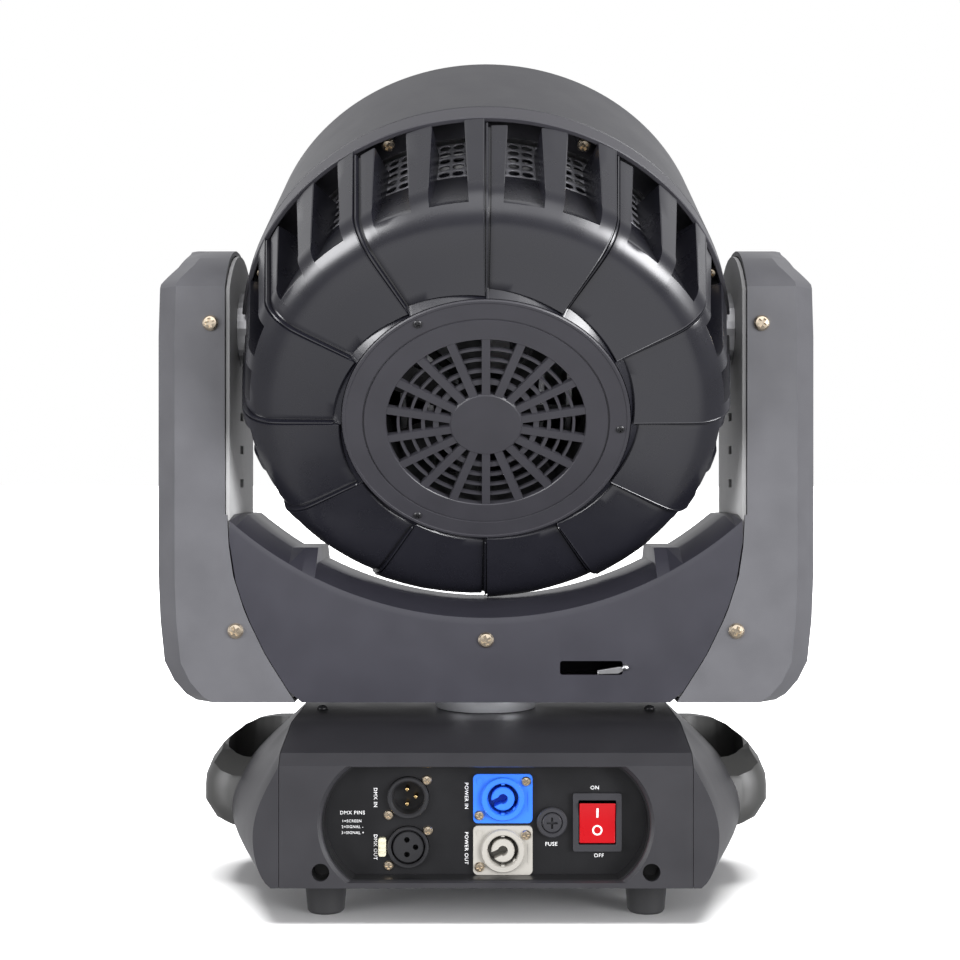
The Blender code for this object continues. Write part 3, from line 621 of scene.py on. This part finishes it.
def build_head():
    piece(
        "rear_shell",
        shell_shape(),
        "gloss",
        "head",
        HEAD,
        cuts=pockets(),
        replaces=("head_shell",),
        sharp=28,
    )
    band = piece(
        "vent_band", mesh_shape(), "mesh", "head", HEAD, replaces=("vent_mesh",)
    )
    thick = band.modifiers.new("sheet", "SOLIDIFY")
    thick.thickness = 1.0 * MM
    thick.offset = -1
    low, high = RIM_U
    rim = [
        (142.0, low + 0.6), (142.6, low), (144.5, low), (145.0, low + 0.6), (145.0, high - 0.5),
        (144.6, high),
    ]
    rim += [(128.0, high), (128.0, high - 1.7), (141.4, high - 1.7)]
    piece(
        "rim_hoop",
        lathe(rim, steps=180),
        "disc",
        "head",
        HEAD,
        cuts=pockets(),
        replaces=("rim_ring",),
    )
    posts = []
    spots = []
    for turn in RIM_SCREW_TURNS:
        at = head_point(turn, RIM_SCREW_RADIUS, -13.0)
        post = lathe([(0, -5.2), (4.6, -5.2), (3.4, -12.8), (0, -12.8)], steps=20)
        posts.append(shifted(post, at[0], at[1]))
        spots.append(toward(at, (0, 0, -1), turn))
    piece("rim_posts", together(posts), "disc", "head", HEAD)
    screws("rim_screws", 3.8, 2.6, spots, "head", place=HEAD)
    radius, depth = BEZEL_FRONT
    bezel = [
        (141.0, -2.9), (144.4, -2.9), (145.0, -2.3), (radius + 0.4, depth - 1.2),
        (radius - 0.8, depth),
    ]
    bezel += [
        (131.0, depth), (129.6, depth - 0.9), (129.6, depth - 3), (132.6, depth - 4), (140.8, -0.8)
    ]
    piece(
        "bezel",
        lathe(bezel, steps=180),
        "plastic",
        "head",
        HEAD,
        cuts=pockets(),
        replaces=("front_bezel",),
    )

    face = DISC_U
    disc = [
        (55.4, face + 3.6), (55.4, face + 0.4), (55.8, face), (67.5, face), (67.8, face + 0.7),
        (68.4, face + 0.7),
    ]
    disc += [
        (68.7, face), (77.8, face), (78.2, face - 0.25), (79.4, face - 0.25), (80.0, face + 0.4),
        (80.0, face + 3.6),
    ]
    grille = [lathe(disc, steps=144)]
    hub = [
        (0, face - 0.1), (19.4, face - 0.1), (20.3, face + 0.6), (20.3, face + 3.6), (0, face + 3.6)
    ]
    grille.append(lathe(hub, steps=64))
    for i in range(GRILLE_BARS):
        grille.append(bar(4.6, 19.5, 56.2, face + 0.25, face + 3.3, 360 / GRILLE_BARS * i))
    for inside, outside in GRILLE_RINGS:
        ring = [
            (inside, face + 1.2), (outside, face + 1.2), (outside, face + 3.1), (inside, face + 3.1)
        ]
        grille.append(lathe(ring, steps=96))
    piece(
        "rear_grille",
        together(grille),
        "disc",
        "head",
        HEAD,
        replaces=("fan_grille",),
    )
    spots = [toward(head_point(turn, 74.6, face), (0, 0, -1), turn) for turn in GRILLE_SCREW_TURNS]
    screws("grille_screws", 2.4, 1.0, spots, "head", look="zinc", place=HEAD)


# ---------------------------------------------------------------- yoke

YOKE_BOTTOM = 89.5
YOKE_HALF_DEPTH = 50.0
ARM_INNER_X = 149.8
ARM_TOP = (294.6, 60.0)
ARM_BEVEL = 11.5
PLATE_INNER_X = 147.5
WALL = 2.7
SEAM = (
    (89.5, 109.0), (116.0, 125.8), (140.0, 137.5), (162.0, 144.5), (179.0, 147.0), (197.0, 148.0)
)
ARM_EDGE = (
    (89.5, 168.0),
    (93.0, 174.0),
    (101.0, 181.0),
    (112.0, 186.5),
    (136.0, 189.0),
    (160.0, 190.0),
    (318.0, 190.0),
    (331.0, 189.0),
    (342.0, 181.0),
    (353.0, 177.0),
)
SADDLE_FRONT = (359.7, 221.8)
SADDLE_TOP = (361.9, 216.4)
SADDLE_TOP_HALF_DEPTH = 30.0
SADDLE_END_Z = 197.0
LUG_X = (90.0, 98.0, 113.3)
LUG_TOP = 177.5
COVER_SCREWS = (
    (-158, 307, 10), (158, 307, 50), (-143.5, 130.5, 30), (143.5, 130.5, 70), (0, 125.3, 20)
)
LOCK_SLOT = ((60.4, 109.3), (36.0, 8.0), 1.6)


def arm_shape(side, inset=0.0, grow=0.0):
    """An arm cover as plan sections from the bottom up."""
    centre, radius = ARM_TOP
    radius -= inset
    floor = YOKE_BOTTOM + inset
    levels = [91, 93, 97, 101, 106, 112, 118, 124, 130, 136, 143, 150, 156, 162, 170, 179, 188]
    levels += [196.9, 197.1, 240, 280, 300]
    levels = [floor] + [z for z in levels if z > floor + 0.3]
    levels += [centre + radius * math.cos(math.radians(turn)) for turn in range(56, 3, -3)]
    sections = []
    for z in levels:
        rise = max(z - centre, 0.0)
        half = min(YOKE_HALF_DEPTH - inset, math.sqrt(max(radius**2 - rise**2, 0.01)))
        inner = (between(SEAM, z) + 0.5 if z < SADDLE_END_Z else ARM_INNER_X) + grow
        outer = between(ARM_EDGE, z) - inset
        bevel = min(ARM_BEVEL, half * 0.6)
        plan = [(inner, -half), (outer - bevel, -half), (outer, bevel - half)]
        plan += [(x, -y) for x, y in reversed(plan)]
        sections.append([(side * x, y, z) for x, y in plan])
    return loft(sections)


def saddle_shape(inset=0.0):
    """The saddle as cross sections from one arm to the other."""
    end = PLATE_INNER_X - 0.3 + inset
    stations = [6 * i for i in range(15)] + [*LUG_X[:2], 98.2, 105.5, 113.1, LUG_X[2]]
    stations += [118, 122, 126.5, 131, 135, 139.5, 143.5, end]
    stations = [-x for x in reversed(stations[1:])] + stations
    seam = [(x, z) for z, x in SEAM]
    sections = []
    for x in stations:
        span = abs(x)
        bottom = max(YOKE_BOTTOM, between(seam, span))
        if inset:
            bottom = YOKE_BOTTOM + inset if span < seam[0][0] else bottom - inset * 2
        front = SADDLE_FRONT[0] - math.sqrt(SADDLE_FRONT[1] ** 2 - x * x)
        top = min(SADDLE_TOP[0] - math.sqrt(SADDLE_TOP[1] ** 2 - x * x), SADDLE_END_Z)
        if LUG_X[1] < span < LUG_X[2]:
            top = LUG_TOP
        front = min(front, top - 2) - inset
        half = YOKE_HALF_DEPTH - inset
        drop = min(4.0, (front - bottom) * 0.4)
        profile = [
            (-half, bottom), (-half, front - drop), (0.7 - half, front - 0.4), (0.9 - half, front)
        ]
        profile.append((inset * 0.5 - SADDLE_TOP_HALF_DEPTH, top - inset))
        profile += [(-y, z) for y, z in reversed(profile)]
        sections.append([(x, y, z) for y, z in profile])
    return loft(sections)


def build_yoke():
    for side, word in ((-1, "left"), (1, "right")):
        piece(
            f"arm_{word}",
            arm_shape(side),
            "arm",
            "yoke",
            bevel=0.7,
            cuts=[arm_shape(side, WALL, -6)],
            replaces=(f"arm_cover_{word}",),
            sharp=24,
        )
    cuts = [
        saddle_shape(WALL),
        lathe([(0, 80), (25.3, 80), (25.3, 96), (0, 96)], steps=48),
        prism(rounded(*LOCK_SLOT), "Y", -56, -44),
    ]
    piece(
        "saddle",
        saddle_shape(),
        "saddle",
        "yoke",
        bevel=0.4,
        cuts=cuts,
        replaces=("saddle_cover",),
        sharp=24,
    )
    places = [toward((x, -YOKE_HALF_DEPTH, z), (0, -1, 0), spin) for x, z, spin in COVER_SCREWS]
    screws("cover_screws", 4.5, 2.6, places, "yoke")
    lever = [(0, 0), (12, 0.4), (15, 2.2), (15.6, 4.4), (12, 4.2), (0, 2.2)]
    grip = prism([(64 + x, 105.6 + z) for x, z in lever], "Y", -50.2, -46.5)
    tip = lathe(
        [(0, -2.2), (1.8, -1.2), (2.2, 0.3), (1.4, 1.8), (0, 2.2)], "X", 20, (79.6, -50.6, 109.6)
    )
    piece(
        "lock_lever",
        together([grip, tip]),
        "steel",
        "pan_lock_lever",
        bevel=0.25,
        replaces=("pan_lock_lever",),
    )


# ---------------------------------------------------------------- base

BASE_DEPTH = 117.0
BASE_WIDTH = 110.0
BASE_FRONT_TOP = 65.0
BASE_CHAMFER = 6.0
BASE_TOP = (60.0, 80.0)
CAP_BULGE = (14.0, 27.0)
CAP_WIDEST_Z = 27.0
CAP_TUCK = 28.5
PANEL_Y = -102.0
BAY = (33.75, 29.75, 86.6, 36.0)
BAY_MOUTH = ((-118.5, 4.6), (-115.5, 1.4), (-112.5, 0.0))
FRONT_HOLE = (88.0, 8.4, 4.75)
FOOT_AT = (88.0, 86.0)
GRIP_PROFILE = (
    (118.0, 70.0),
    (133.0, 70.0),
    (143.0, 69.0),
    (150.0, 65.6),
    (157.0, 60.0),
    (163.0, 52.0),
    (166.4, 44.0),
    (167.0, 38.0),
    (167.0, 29.0),
    (161.0, 20.5),
    (154.0, 17.0),
    (118.0, 17.0),
)
GRIP_STATIONS = (
    (-42.0, 46.0, 0.62),
    (-38.0, 48.5, 0.8),
    (-32.0, 52.0, 0.91),
    (-22.0, 58.0, 0.97),
    (-8.0, 66.0, 1.0),
    (12.0, 80.0, 1.0),
    (26.0, 80.0, 0.97),
    (35.0, 80.0, 0.89),
    (42.0, 80.0, 0.74),
)
GRIP_HOLE = ((134.5, 1.0), (38.0, 58.0), 16.0)


def base_top(y):
    strip = (BASE_DEPTH - BASE_CHAMFER, BASE_FRONT_TOP + BASE_CHAMFER)
    return between([BASE_TOP, strip, (BASE_DEPTH, BASE_FRONT_TOP)], abs(y))


def cap_x(y, z, inset=0.0):
    """How far out the bulged end cap reaches."""
    bulge = CAP_BULGE[0] + CAP_BULGE[1] * math.cos(math.pi / 2 * y / BASE_DEPTH)
    if z >= CAP_WIDEST_Z:
        rise = (z - CAP_WIDEST_Z) / (base_top(y) - inset - CAP_WIDEST_Z)
        share = math.cos(math.pi / 2 * min(1.0, rise))
    else:
        share = math.sqrt(max(0.003, 1 - ((CAP_WIDEST_Z - z) / CAP_TUCK) ** 2))
    return BASE_WIDTH + (bulge - inset) * share


def cap_shape(side, inset=0.0, inner=BASE_WIDTH + 0.3, bottom=0.0):
    stations, heights = 40, 24
    reach = BASE_DEPTH - inset
    sections = []
    for i in range(stations + 1):
        y = reach * (2 * i / stations - 1)
        top = base_top(y) - inset
        levels = [bottom + (top - bottom) * k / heights for k in range(heights)]
        loop = [(inner, top), (inner, bottom)] + [(cap_x(y, z, inset), z) for z in levels]
        sections.append([(side * x, y, z) for x, z in loop])
    return loft(sections)


def base_outline(inset):
    corners = [
        (BASE_DEPTH - inset, -inset),
        (BASE_DEPTH - inset, BASE_FRONT_TOP - inset * 0.4),
        (BASE_DEPTH - BASE_CHAMFER - inset * 0.5, BASE_FRONT_TOP + BASE_CHAMFER - inset * 0.9),
        (BASE_TOP[0] - inset * 0.1, BASE_TOP[1] - inset),
    ]
    return corners + [(-y, z) for y, z in reversed(corners)]


def bay_outline(grow=0.0):
    centre, height, width, radius = BAY
    height, width = height + grow * 0.4, width + grow
    reach = math.degrees(math.asin(height / (radius + grow)))
    offset = width - radius - grow
    right = arc((offset, centre), radius + grow, -reach, reach, 24)
    left = arc((-offset, centre), radius + grow, 180 - reach, 180 + reach, 24)
    return right + left


def front_holes(depth):
    """Drills for the two screw holes low on the connector side."""
    x, z, radius = FRONT_HOLE
    drill = [(0, -120), (radius, -120), (radius, depth), (0, depth)]
    return [lathe(drill, "Y", 32, (side * x, 0, z)) for side in (-1, 1)]


def build_base():
    shell = prism(base_outline(0), "X", -BASE_WIDTH, BASE_WIDTH)
    mouth = loft([[(x, y, z) for x, z in bay_outline(grow)] for y, grow in BAY_MOUTH])
    cuts = [
        prism(base_outline(WALL), "X", -BASE_WIDTH - 1, BASE_WIDTH + 1),
        lathe([(0, 70), (24, 70), (24, 90), (0, 90)], steps=64),
        prism(rounded((8, 33), (150, 46), 3), "Y", 97, 122),
        prism(bay_outline(), "Y", -122, -112),
        mouth,
        *front_holes(-110),
    ]
    piece(
        "base_cover",
        shell,
        "base",
        "base",
        bevel=0.6,
        cuts=cuts,
        replaces=("base_shell",),
        sharp=20,
    )
    rim = [
        (side * (cap_x(side * y, 0) - 1.2), side * y)
        for side in (-1, 1)
        for y in range(-114, 115, 6)
    ]
    under = prism(rim, "Z", 0.0, 2.4)
    piece(
        "floor_plate",
        under,
        "base",
        "base",
        bevel=0.3,
        replaces=("base_plate",),
        sharp=40,
    )
    bay = box((-100, 100), (-114.0, -102.3), (2.5, 63.9))
    cuts = [prism(bay_outline(), "Y", -117, -97)]
    cuts += front_holes(-103)
    piece(
        "bay_lining", bay, "panel", "base", cuts=cuts, replaces=("connector_bay",)
    )
    for side, word in ((-1, "left"), (1, "right")):
        piece(
            f"cap_{word}",
            cap_shape(side),
            "base",
            "base",
            bevel=0.5,
            cuts=[cap_shape(side, WALL, BASE_WIDTH - 3, -2)],
            replaces=(f"end_cap_{word}",),
            sharp=32,
        )


def on_panel(x, z, y=PANEL_Y):
    """A place on the connector side: X to the right, Y up and Z away from the base."""
    return Matrix.Translation((x, y, z)) @ Matrix.Rotation(math.pi / 2, 4, "X")


def grip_shape(side):
    """A hand grip as sections from front to rear, its top falling away towards the front."""
    sections = []
    root = GRIP_PROFILE[0][0]
    for y, top, reach in GRIP_STATIONS:
        sections.append(
            [(side * (root + (x - root) * reach), y, min(z, top)) for x, z in GRIP_PROFILE]
        )
    return loft(sections)


def build_stand():
    for side, word in ((-1, "left"), (1, "right")):
        (middle, y), size, radius = GRIP_HOLE
        hole = prism(rounded((side * middle, y), size, radius), "Z", 8, 90)
        piece(
            f"grip_{word}",
            grip_shape(side),
            "grey",
            "base",
            bevel=2.0,
            cuts=[hole],
            replaces=(f"handle_{word}",),
            sharp=40,
        )
        for y, end in ((-FOOT_AT[1], "front"), (FOOT_AT[1], "rear")):
            foot = [
                (0, -0.3), (12, -0.3), (12, -3.4), (11.5, -5), (10.2, -18.8), (9.2, -20), (0, -20)
            ]
            piece(
                f"pad_{end}_{word}",
                lathe(foot, steps=64, at=(side * FOOT_AT[0], y, 0)),
                "rubber",
                "base",
                bevel=0.4,
                replaces=(f"foot_{end}_{word}",),
            )
    hub = [
        (8, 30), (12, 30), (12, 80.3), (29.4, 80.3), (30.4, 81.2), (31.4, 84.0), (32.6, 87.0),
        (33, 89.2),
    ]
    hub += [(25, 89.2), (25, 92.2), (8, 92.2)]
    # The collar's finish carries a painted reflection in its pale diffuse colour.
    piece(
        "pan_collar",
        lathe(hub, steps=128),
        "chrome",
        "yoke",
        replaces=("pan_hub",),
    )
    tops = [toward((x, y, 80.0), (0, 0, 1)) for x in (-98, 98) for y in (-8, 48)]
    screws("top_screws", 3.2, 2.2, tops, "base", look="zinc")


def socket_piece(name, node, at, look):
    """A round locking mains socket on a square flange."""
    flange = prism(rounded((0, 0), (32, 26.4), 2.6), "Z", 0.3, 2.5)
    collar = lathe(
        [(8.4, 0.5), (11.7, 0.5), (11.7, 4.4), (11.2, 5.0), (8.9, 5.0), (8.4, 4.4)], steps=72
    )
    well = lathe([(8.2, -10), (12, -10), (12, 0.6), (8.2, 0.6)], steps=72)
    core = lathe(
        [(0, -11), (12, -11), (12, -9.5), (6.3, -9.5), (6.3, 2.9), (5.8, 3.4), (0, 3.4)], steps=72
    )
    keyway = turned(box((0.4, 7.2), (-1.9, 1.9), (-7, 6)), 205)
    core = carved("core", core, [lathe([(0, -7), (2.7, -7), (2.7, 6), (0, 6)], steps=32), keyway])
    flange = carved("plate", flange, [lathe([(0, -2), (8.6, -2), (8.6, 6), (0, 6)], steps=72)])
    keys = [turned(box((7.6, 8.6), (-0.9, 0.9), (-9, 4.0)), turn) for turn in (90, 270, 320)]
    boss = shifted(lathe([(1.5, 2.3), (2.1, 2.3), (2.1, 2.75), (1.5, 2.75)], steps=24), -12.2, 9.4)
    ribs = box((13.4, 13.9), (-7, 4), (2.3, 2.7))
    piece(
        name,
        together([flange, collar, well, core, boss, ribs, *keys]),
        look,
        "base",
        on_panel(*at),
        bevel=0.25,
        replaces=(node,),
        sharp=40,
    )


DMX_IN = (-42.0, 45.6)
DMX_OUT = (-42.0, 18.9)
POWER_IN = (9.1, 45.2)
POWER_OUT = (9.1, 17.3)
FUSE = (35.6, 32.2)
SWITCH = (60.0, 32.4)
SOCKET_SCREWS = (
    (-32.0, 54.8, 0.0),
    (-52.6, 35.9, 0.0),
    (-31.4, 27.5, 0.0),
    (-52.6, 8.6, 0.0),
    (21.6, 54.5, 2.5),
    (-3.5, 36.2, 2.5),
    (21.6, 25.7, 2.5),
    (-3.5, 8.4, 2.5),
)
LABELS = (
    ("DMX IN", 2.1, -59.8, 45.4, -90),
    ("DMX OUT", 2.1, -59.8, 18.6, -90),
    ("DMX PINS", 2.1, -72.2, 37.1, 0),
    ("1=SCREEN", 1.6, -72.6, 32.6, 0),
    ("2=SIGNAL -", 1.6, -72.2, 29.5, 0),
    ("3=SIGNAL +", 1.6, -72.0, 26.3, 0),
    ("POWER IN", 2.1, -10.6, 46.3, -90),
    ("POWER OUT", 2.1, -10.6, 18.0, -90),
    ("FUSE", 2.2, 35.3, 20.2, 0),
    ("ON", 2.2, 58.8, 50.6, 0),
    ("OFF", 2.2, 61.0, 14.0, 0),
)
PINS = [(4.0 * math.cos(turn), 4.0 * math.sin(turn)) for turn in map(math.radians, (100, 0, 260))]


def build_connectors():
    shroud = [
        (0, -17), (11, -17), (11, 0.3), (11.2, 2.8), (10.7, 3.5), (9.5, 3.5), (8.7, 2.7),
        (8.6, -9.5), (0, -9.5),
    ]
    piece(
        "signal_in",
        lathe(shroud, steps=96),
        "zinc",
        "base",
        on_panel(*DMX_IN),
        replaces=("dmx_in",),
    )
    pin = [(0, -10), (1.15, -10), (1.15, -1.2), (0.8, -0.5), (0, -0.2)]
    pins = [shifted(lathe(pin, steps=24), x, z) for x, z in PINS]
    piece("signal_in_pins", together(pins), "brass", "base", on_panel(*DMX_IN))
    nest = [(9.2, -17), (11, -17), (11, 0.3), (11.2, 2.8), (10.7, 3.5), (9.9, 3.5), (9.2, 2.7)]
    insert = [(0, -16), (8.5, -16), (8.5, 1.4), (8.0, 1.9), (0, 1.9)]
    holes = [
        lathe([(0, -8), (1.55, -8), (1.55, 4), (0, 4)], steps=24, at=(x, z, 0)) for x, z in PINS
    ]
    piece(
        "signal_out",
        lathe(nest, steps=96),
        "zinc",
        "base",
        on_panel(*DMX_OUT),
        replaces=("dmx_out",),
    )
    piece(
        "signal_out_insert",
        lathe(insert, steps=72),
        "zinc",
        "base",
        on_panel(*DMX_OUT),
        cuts=holes,
    )
    tab = [prism(rounded((0, 0), (4.2, 10), 1.2), "Z", -3.9, 2.6)]
    tab += [
        prism(rounded((0.2, height), (2.6, 0.9), 0.4), "Z", 2.5, 3.3) for height in (-2.4, 0, 2.4)
    ]
    piece(
        "latch_tab",
        together(tab),
        "cream",
        "dmx_out_latch",
        on_panel(DMX_OUT[0] - 14, DMX_OUT[1]),
        bevel=0.3,
        replaces=("dmx_out_latch",),
    )
    socket_piece("mains_in", "power_in", POWER_IN, "blue")
    socket_piece("mains_out", "power_out", POWER_OUT, "pale")
    barrel = [
        (5.6, -12), (6.5, -12), (6.5, 0.2), (8.0, 0.2), (8.2, 0.6), (8.2, 2.4), (7.6, 3.0),
        (6.0, 3.0), (5.6, 2.6),
    ]
    piece(
        "fuse_barrel",
        lathe(barrel, steps=72),
        "plastic",
        "base",
        on_panel(*FUSE),
        replaces=("fuse_holder",),
    )
    cap = [(0, -11.5), (5.25, -11.5), (5.25, 3.0), (4.7, 3.5), (0, 3.5)]
    cross = [box((-3, 3), (-0.55, 0.55), (1.6, 5)), box((-0.55, 0.55), (-3, 3), (1.6, 5))]
    piece(
        "fuse_knob",
        lathe(cap, steps=64),
        "plastic",
        "fuse_cap",
        on_panel(*FUSE),
        cuts=cross,
        replaces=("fuse_cap",),
    )
    frame_body = prism(rounded((0, 0), (26.2, 31.4), 1.2), "Z", 0.3, 2.8)
    opening = prism(rounded((0, 0), (20.3, 23.9), 0.6), "Z", -13, 5)
    piece(
        "switch_frame",
        frame_body,
        "plastic",
        "base",
        on_panel(*SWITCH),
        bevel=0.5,
        cuts=[opening],
        replaces=("switch_bezel",),
    )
    profile = [(10.8, 5.0), (0.3, 2.4), (-11.3, 2.6), (-8.5, -4.5), (0, -7.5), (8.5, -4.5)]
    piece(
        "power_key",
        loft([[(x, y, z) for y, z in profile] for x in (-9.7, 9.7)]),
        "red",
        "rocker",
        on_panel(*SWITCH),
        bevel=0.5,
        replaces=("rocker",),
    )
    lean = Matrix.Rotation(math.atan2(2.6, 10.5), 4, "X")
    stroke = moved(
        box((-0.55, 0.55), (-2.7, 2.7), (-0.1, 0.1)), Matrix.Translation((0, 5.4, 3.72)) @ lean
    )
    ring = shifted(
        lathe([(1.9, -0.1), (2.75, -0.1), (2.75, 0.1), (1.9, 0.1)], steps=48), 0, -4.2, 2.52
    )
    piece(
        "key_marks",
        together([stroke, ring]),
        "ink",
        "rocker",
        on_panel(*SWITCH),
    )
    labels = []
    for words, height, x, z, turn in LABELS:
        labels.append(
            moved(turned(text_shape(words, height), turn), Matrix.Translation((x, z, 0.02)))
        )
    piece("panel_labels", together(labels), "ink", "base", on_panel(0, 0))
    places = []
    for x, z, rise in SOCKET_SCREWS:
        places.append(on_panel(x, z, PANEL_Y - rise) @ Matrix.Rotation(x + z, 4, "Z"))
    screws("socket_screws", 2.7, 1.5, places, "base")


# ---------------------------------------------------------------- sides away from the connectors

BUTTONS = ((34.0, 33.0), (50.0, 42.0), (50.0, 24.0), (66.0, 33.0))
BUTTON_MARKS = (180, 90, 270, 0)
LENS_PITCH = 50.0
LENS_U = 57.0


def lens_spots():
    """Nineteen places in a hexagon."""
    spots = []
    for row in range(-2, 3):
        for column in range(-2, 3):
            if abs(row + column) <= 2:
                spots.append(
                    (LENS_PITCH * (column + row / 2), LENS_PITCH * row * math.sin(math.pi / 3))
                )
    return spots


def build_lenses():
    spots = lens_spots()
    plate = lathe([(0, 54), (128, 54), (128, 57), (0, 57)], steps=144)
    holes = [
        lathe([(0, 50), (21, 50), (21, 60), (0, 60)], steps=48, at=(x, y, 0)) for x, y in spots
    ]
    piece(
        "lens_carrier",
        plate,
        "panel",
        "lenses",
        HEAD,
        cuts=holes,
        replaces=("lens_plate",),
    )
    collar = [
        (22.2, LENS_U + 0.3), (24.2, LENS_U + 0.3), (24.2, LENS_U + 2.8), (23.4, LENS_U + 4.2),
        (22.2, LENS_U + 4.2),
    ]
    collars = [shifted(lathe(collar, steps=64), x, y) for x, y in spots]
    piece("lens_collars", together(collars), "panel", "lenses", HEAD)
    dome = [
        (0, LENS_U - 6), (12, LENS_U - 4.5), (21, LENS_U + 0.4), (22, LENS_U + 1.4),
        (22, LENS_U + 3),
    ]
    dome += [
        (22 * math.cos(t), LENS_U + 3 + 9.8 * math.sin(t))
        for t in map(math.radians, range(12, 90, 13))
    ]
    dome += [(0, LENS_U + 12.8)]
    domes = [shifted(lathe(dome, steps=64), x, y) for x, y in spots]
    glass = piece(
        "lens_domes",
        together(domes),
        "glass",
        "lenses",
        HEAD,
        replaces=("lens_array",),
        sharp=50,
    )
    glass.data.shade_smooth()


def build_display():
    glass = prism(rounded((-25, 33), (70, 34), 2.5), "Y", 114.3, 115.5)
    piece("screen", glass, "screen", "base", bevel=0.35, replaces=("display_window",))
    cap = [(0, -6), (5, -6), (5, 1.6), (4.6, 2.4), (3.4, 2.9), (0, 3)]
    for number, ((x, z), turn) in enumerate(zip(BUTTONS, BUTTON_MARKS), 1):
        knob = lathe(cap, "Y", 48, (x, 114, z))
        piece(
            f"key_{number}",
            knob,
            "rubber",
            f"menu_button_{number}",
            replaces=(f"menu_button_{number}",),
        )
        mark = [
            (math.cos(t) * 2.0, math.sin(t) * 2.0)
            for t in map(math.radians, (turn, turn + 120, turn + 240))
        ]
        arrow = prism([(x - a, z + b) for a, b in mark], "Y", 116.95, 117.1)
        piece(f"key_mark_{number}", arrow, "ink", f"menu_button_{number}")


# ---------------------------------------------------------------- room


def build_room():
    camera = bpy.data.objects.new("camera", bpy.data.cameras.new("camera"))
    bpy.context.scene.collection.objects.link(camera)
    camera.location = (0, -CAMERA_DISTANCE * MM, CAMERA_HEIGHT * MM)
    camera.rotation_euler = (math.pi / 2, 0, 0)
    camera.data.lens = CAMERA_LENS
    camera.data.sensor_width = 36.0
    camera.data.shift_x = CAMERA_SHIFT
    bpy.context.scene.camera = camera

    corners = [
        (x * FLOOR_REACH, y * FLOOR_REACH, GROUND * MM)
        for x, y in ((-1, -1), (1, -1), (1, 1), (-1, 1))
    ]
    floor = bpy.data.meshes.new("floor")
    floor.from_pydata(corners, [], [(0, 1, 2, 3)])
    ground = bpy.data.objects.new("floor", floor)
    bpy.context.scene.collection.objects.link(ground)
    pale = finish("pale_floor", (0.55, 0.55, 0.55), roughness=0.9, mottle=0.005, relief=0.05)
    ground.data.materials.append(pale)
    ground.visible_diffuse = False
    ground.visible_glossy = False
    ground.visible_shadow = False

    light_floor(ground)
    build_world()
    bpy.context.scene.view_settings.view_transform = "Standard"


def light_floor(ground):
    """A soft light from above for the floor alone, so that the object's shadow falls on it."""
    only = bpy.data.collections.new("floor_only")
    only.objects.link(ground)
    light = bpy.data.lights.new("overhead", "SUN")
    light.angle = math.radians(OVERHEAD_SPREAD)
    light.energy = OVERHEAD_STRENGTH
    lamp = bpy.data.objects.new("overhead", light)
    lamp.light_linking.receiver_collection = only
    bpy.context.scene.collection.objects.link(lamp)


def build_world():
    """White behind the object, which itself is lit by a dim room with soft panels."""
    world = bpy.data.worlds.new("room")
    world.use_nodes = True
    tree = world.node_tree
    link = tree.links.new
    backdrop = tree.nodes["Background"]
    backdrop.inputs["Color"].default_value = (1, 1, 1, 1)
    direction = tree.nodes.new("ShaderNodeTexCoord")
    parts = tree.nodes.new("ShaderNodeSeparateXYZ")
    link(direction.outputs["Generated"], parts.inputs["Vector"])
    height = tree.nodes.new("ShaderNodeMapRange")
    height.inputs["From Min"].default_value = -1.0
    link(parts.outputs["Z"], height.inputs["Value"])
    ramp = tree.nodes.new("ShaderNodeValToRGB")
    for _ in range(len(ROOM_LIGHT) - 2):
        ramp.color_ramp.elements.new(0.5)
    for element, (position, level) in zip(ramp.color_ramp.elements, ROOM_LIGHT):
        element.position = position
        element.color = (level, level, level, 1)
    link(height.outputs["Result"], ramp.inputs["Fac"])
    total = ramp.outputs["Color"]
    for aim, edge, level in PANELS:
        along = tree.nodes.new("ShaderNodeVectorMath")
        along.operation = "DOT_PRODUCT"
        along.inputs[1].default_value = Vector(aim).normalized()
        link(direction.outputs["Generated"], along.inputs[0])
        glow = tree.nodes.new("ShaderNodeMapRange")
        glow.interpolation_type = "SMOOTHSTEP"
        glow.inputs["From Min"].default_value = edge[0]
        glow.inputs["From Max"].default_value = edge[1]
        glow.inputs["To Max"].default_value = level
        link(along.outputs["Value"], glow.inputs["Value"])
        add = tree.nodes.new("ShaderNodeMath")
        link(total, add.inputs[0])
        link(glow.outputs["Result"], add.inputs[1])
        total = add.outputs["Value"]
    studio = tree.nodes.new("ShaderNodeBackground")
    studio.inputs["Color"].default_value = (0.98, 0.98, 1.0, 1)
    link(total, studio.inputs["Strength"])
    seen = tree.nodes.new("ShaderNodeLightPath")
    mix = tree.nodes.new("ShaderNodeMixShader")
    link(seen.outputs["Is Camera Ray"], mix.inputs["Fac"])
    link(studio.outputs["Background"], mix.inputs[1])
    link(backdrop.outputs["Background"], mix.inputs[2])
    link(mix.outputs["Shader"], tree.nodes["World Output"].inputs["Surface"])
    bpy.context.scene.world = world


dress_frame()
build_head()
build_yoke()
build_base()
build_stand()
build_connectors()
build_lenses()
build_display()
build_room()
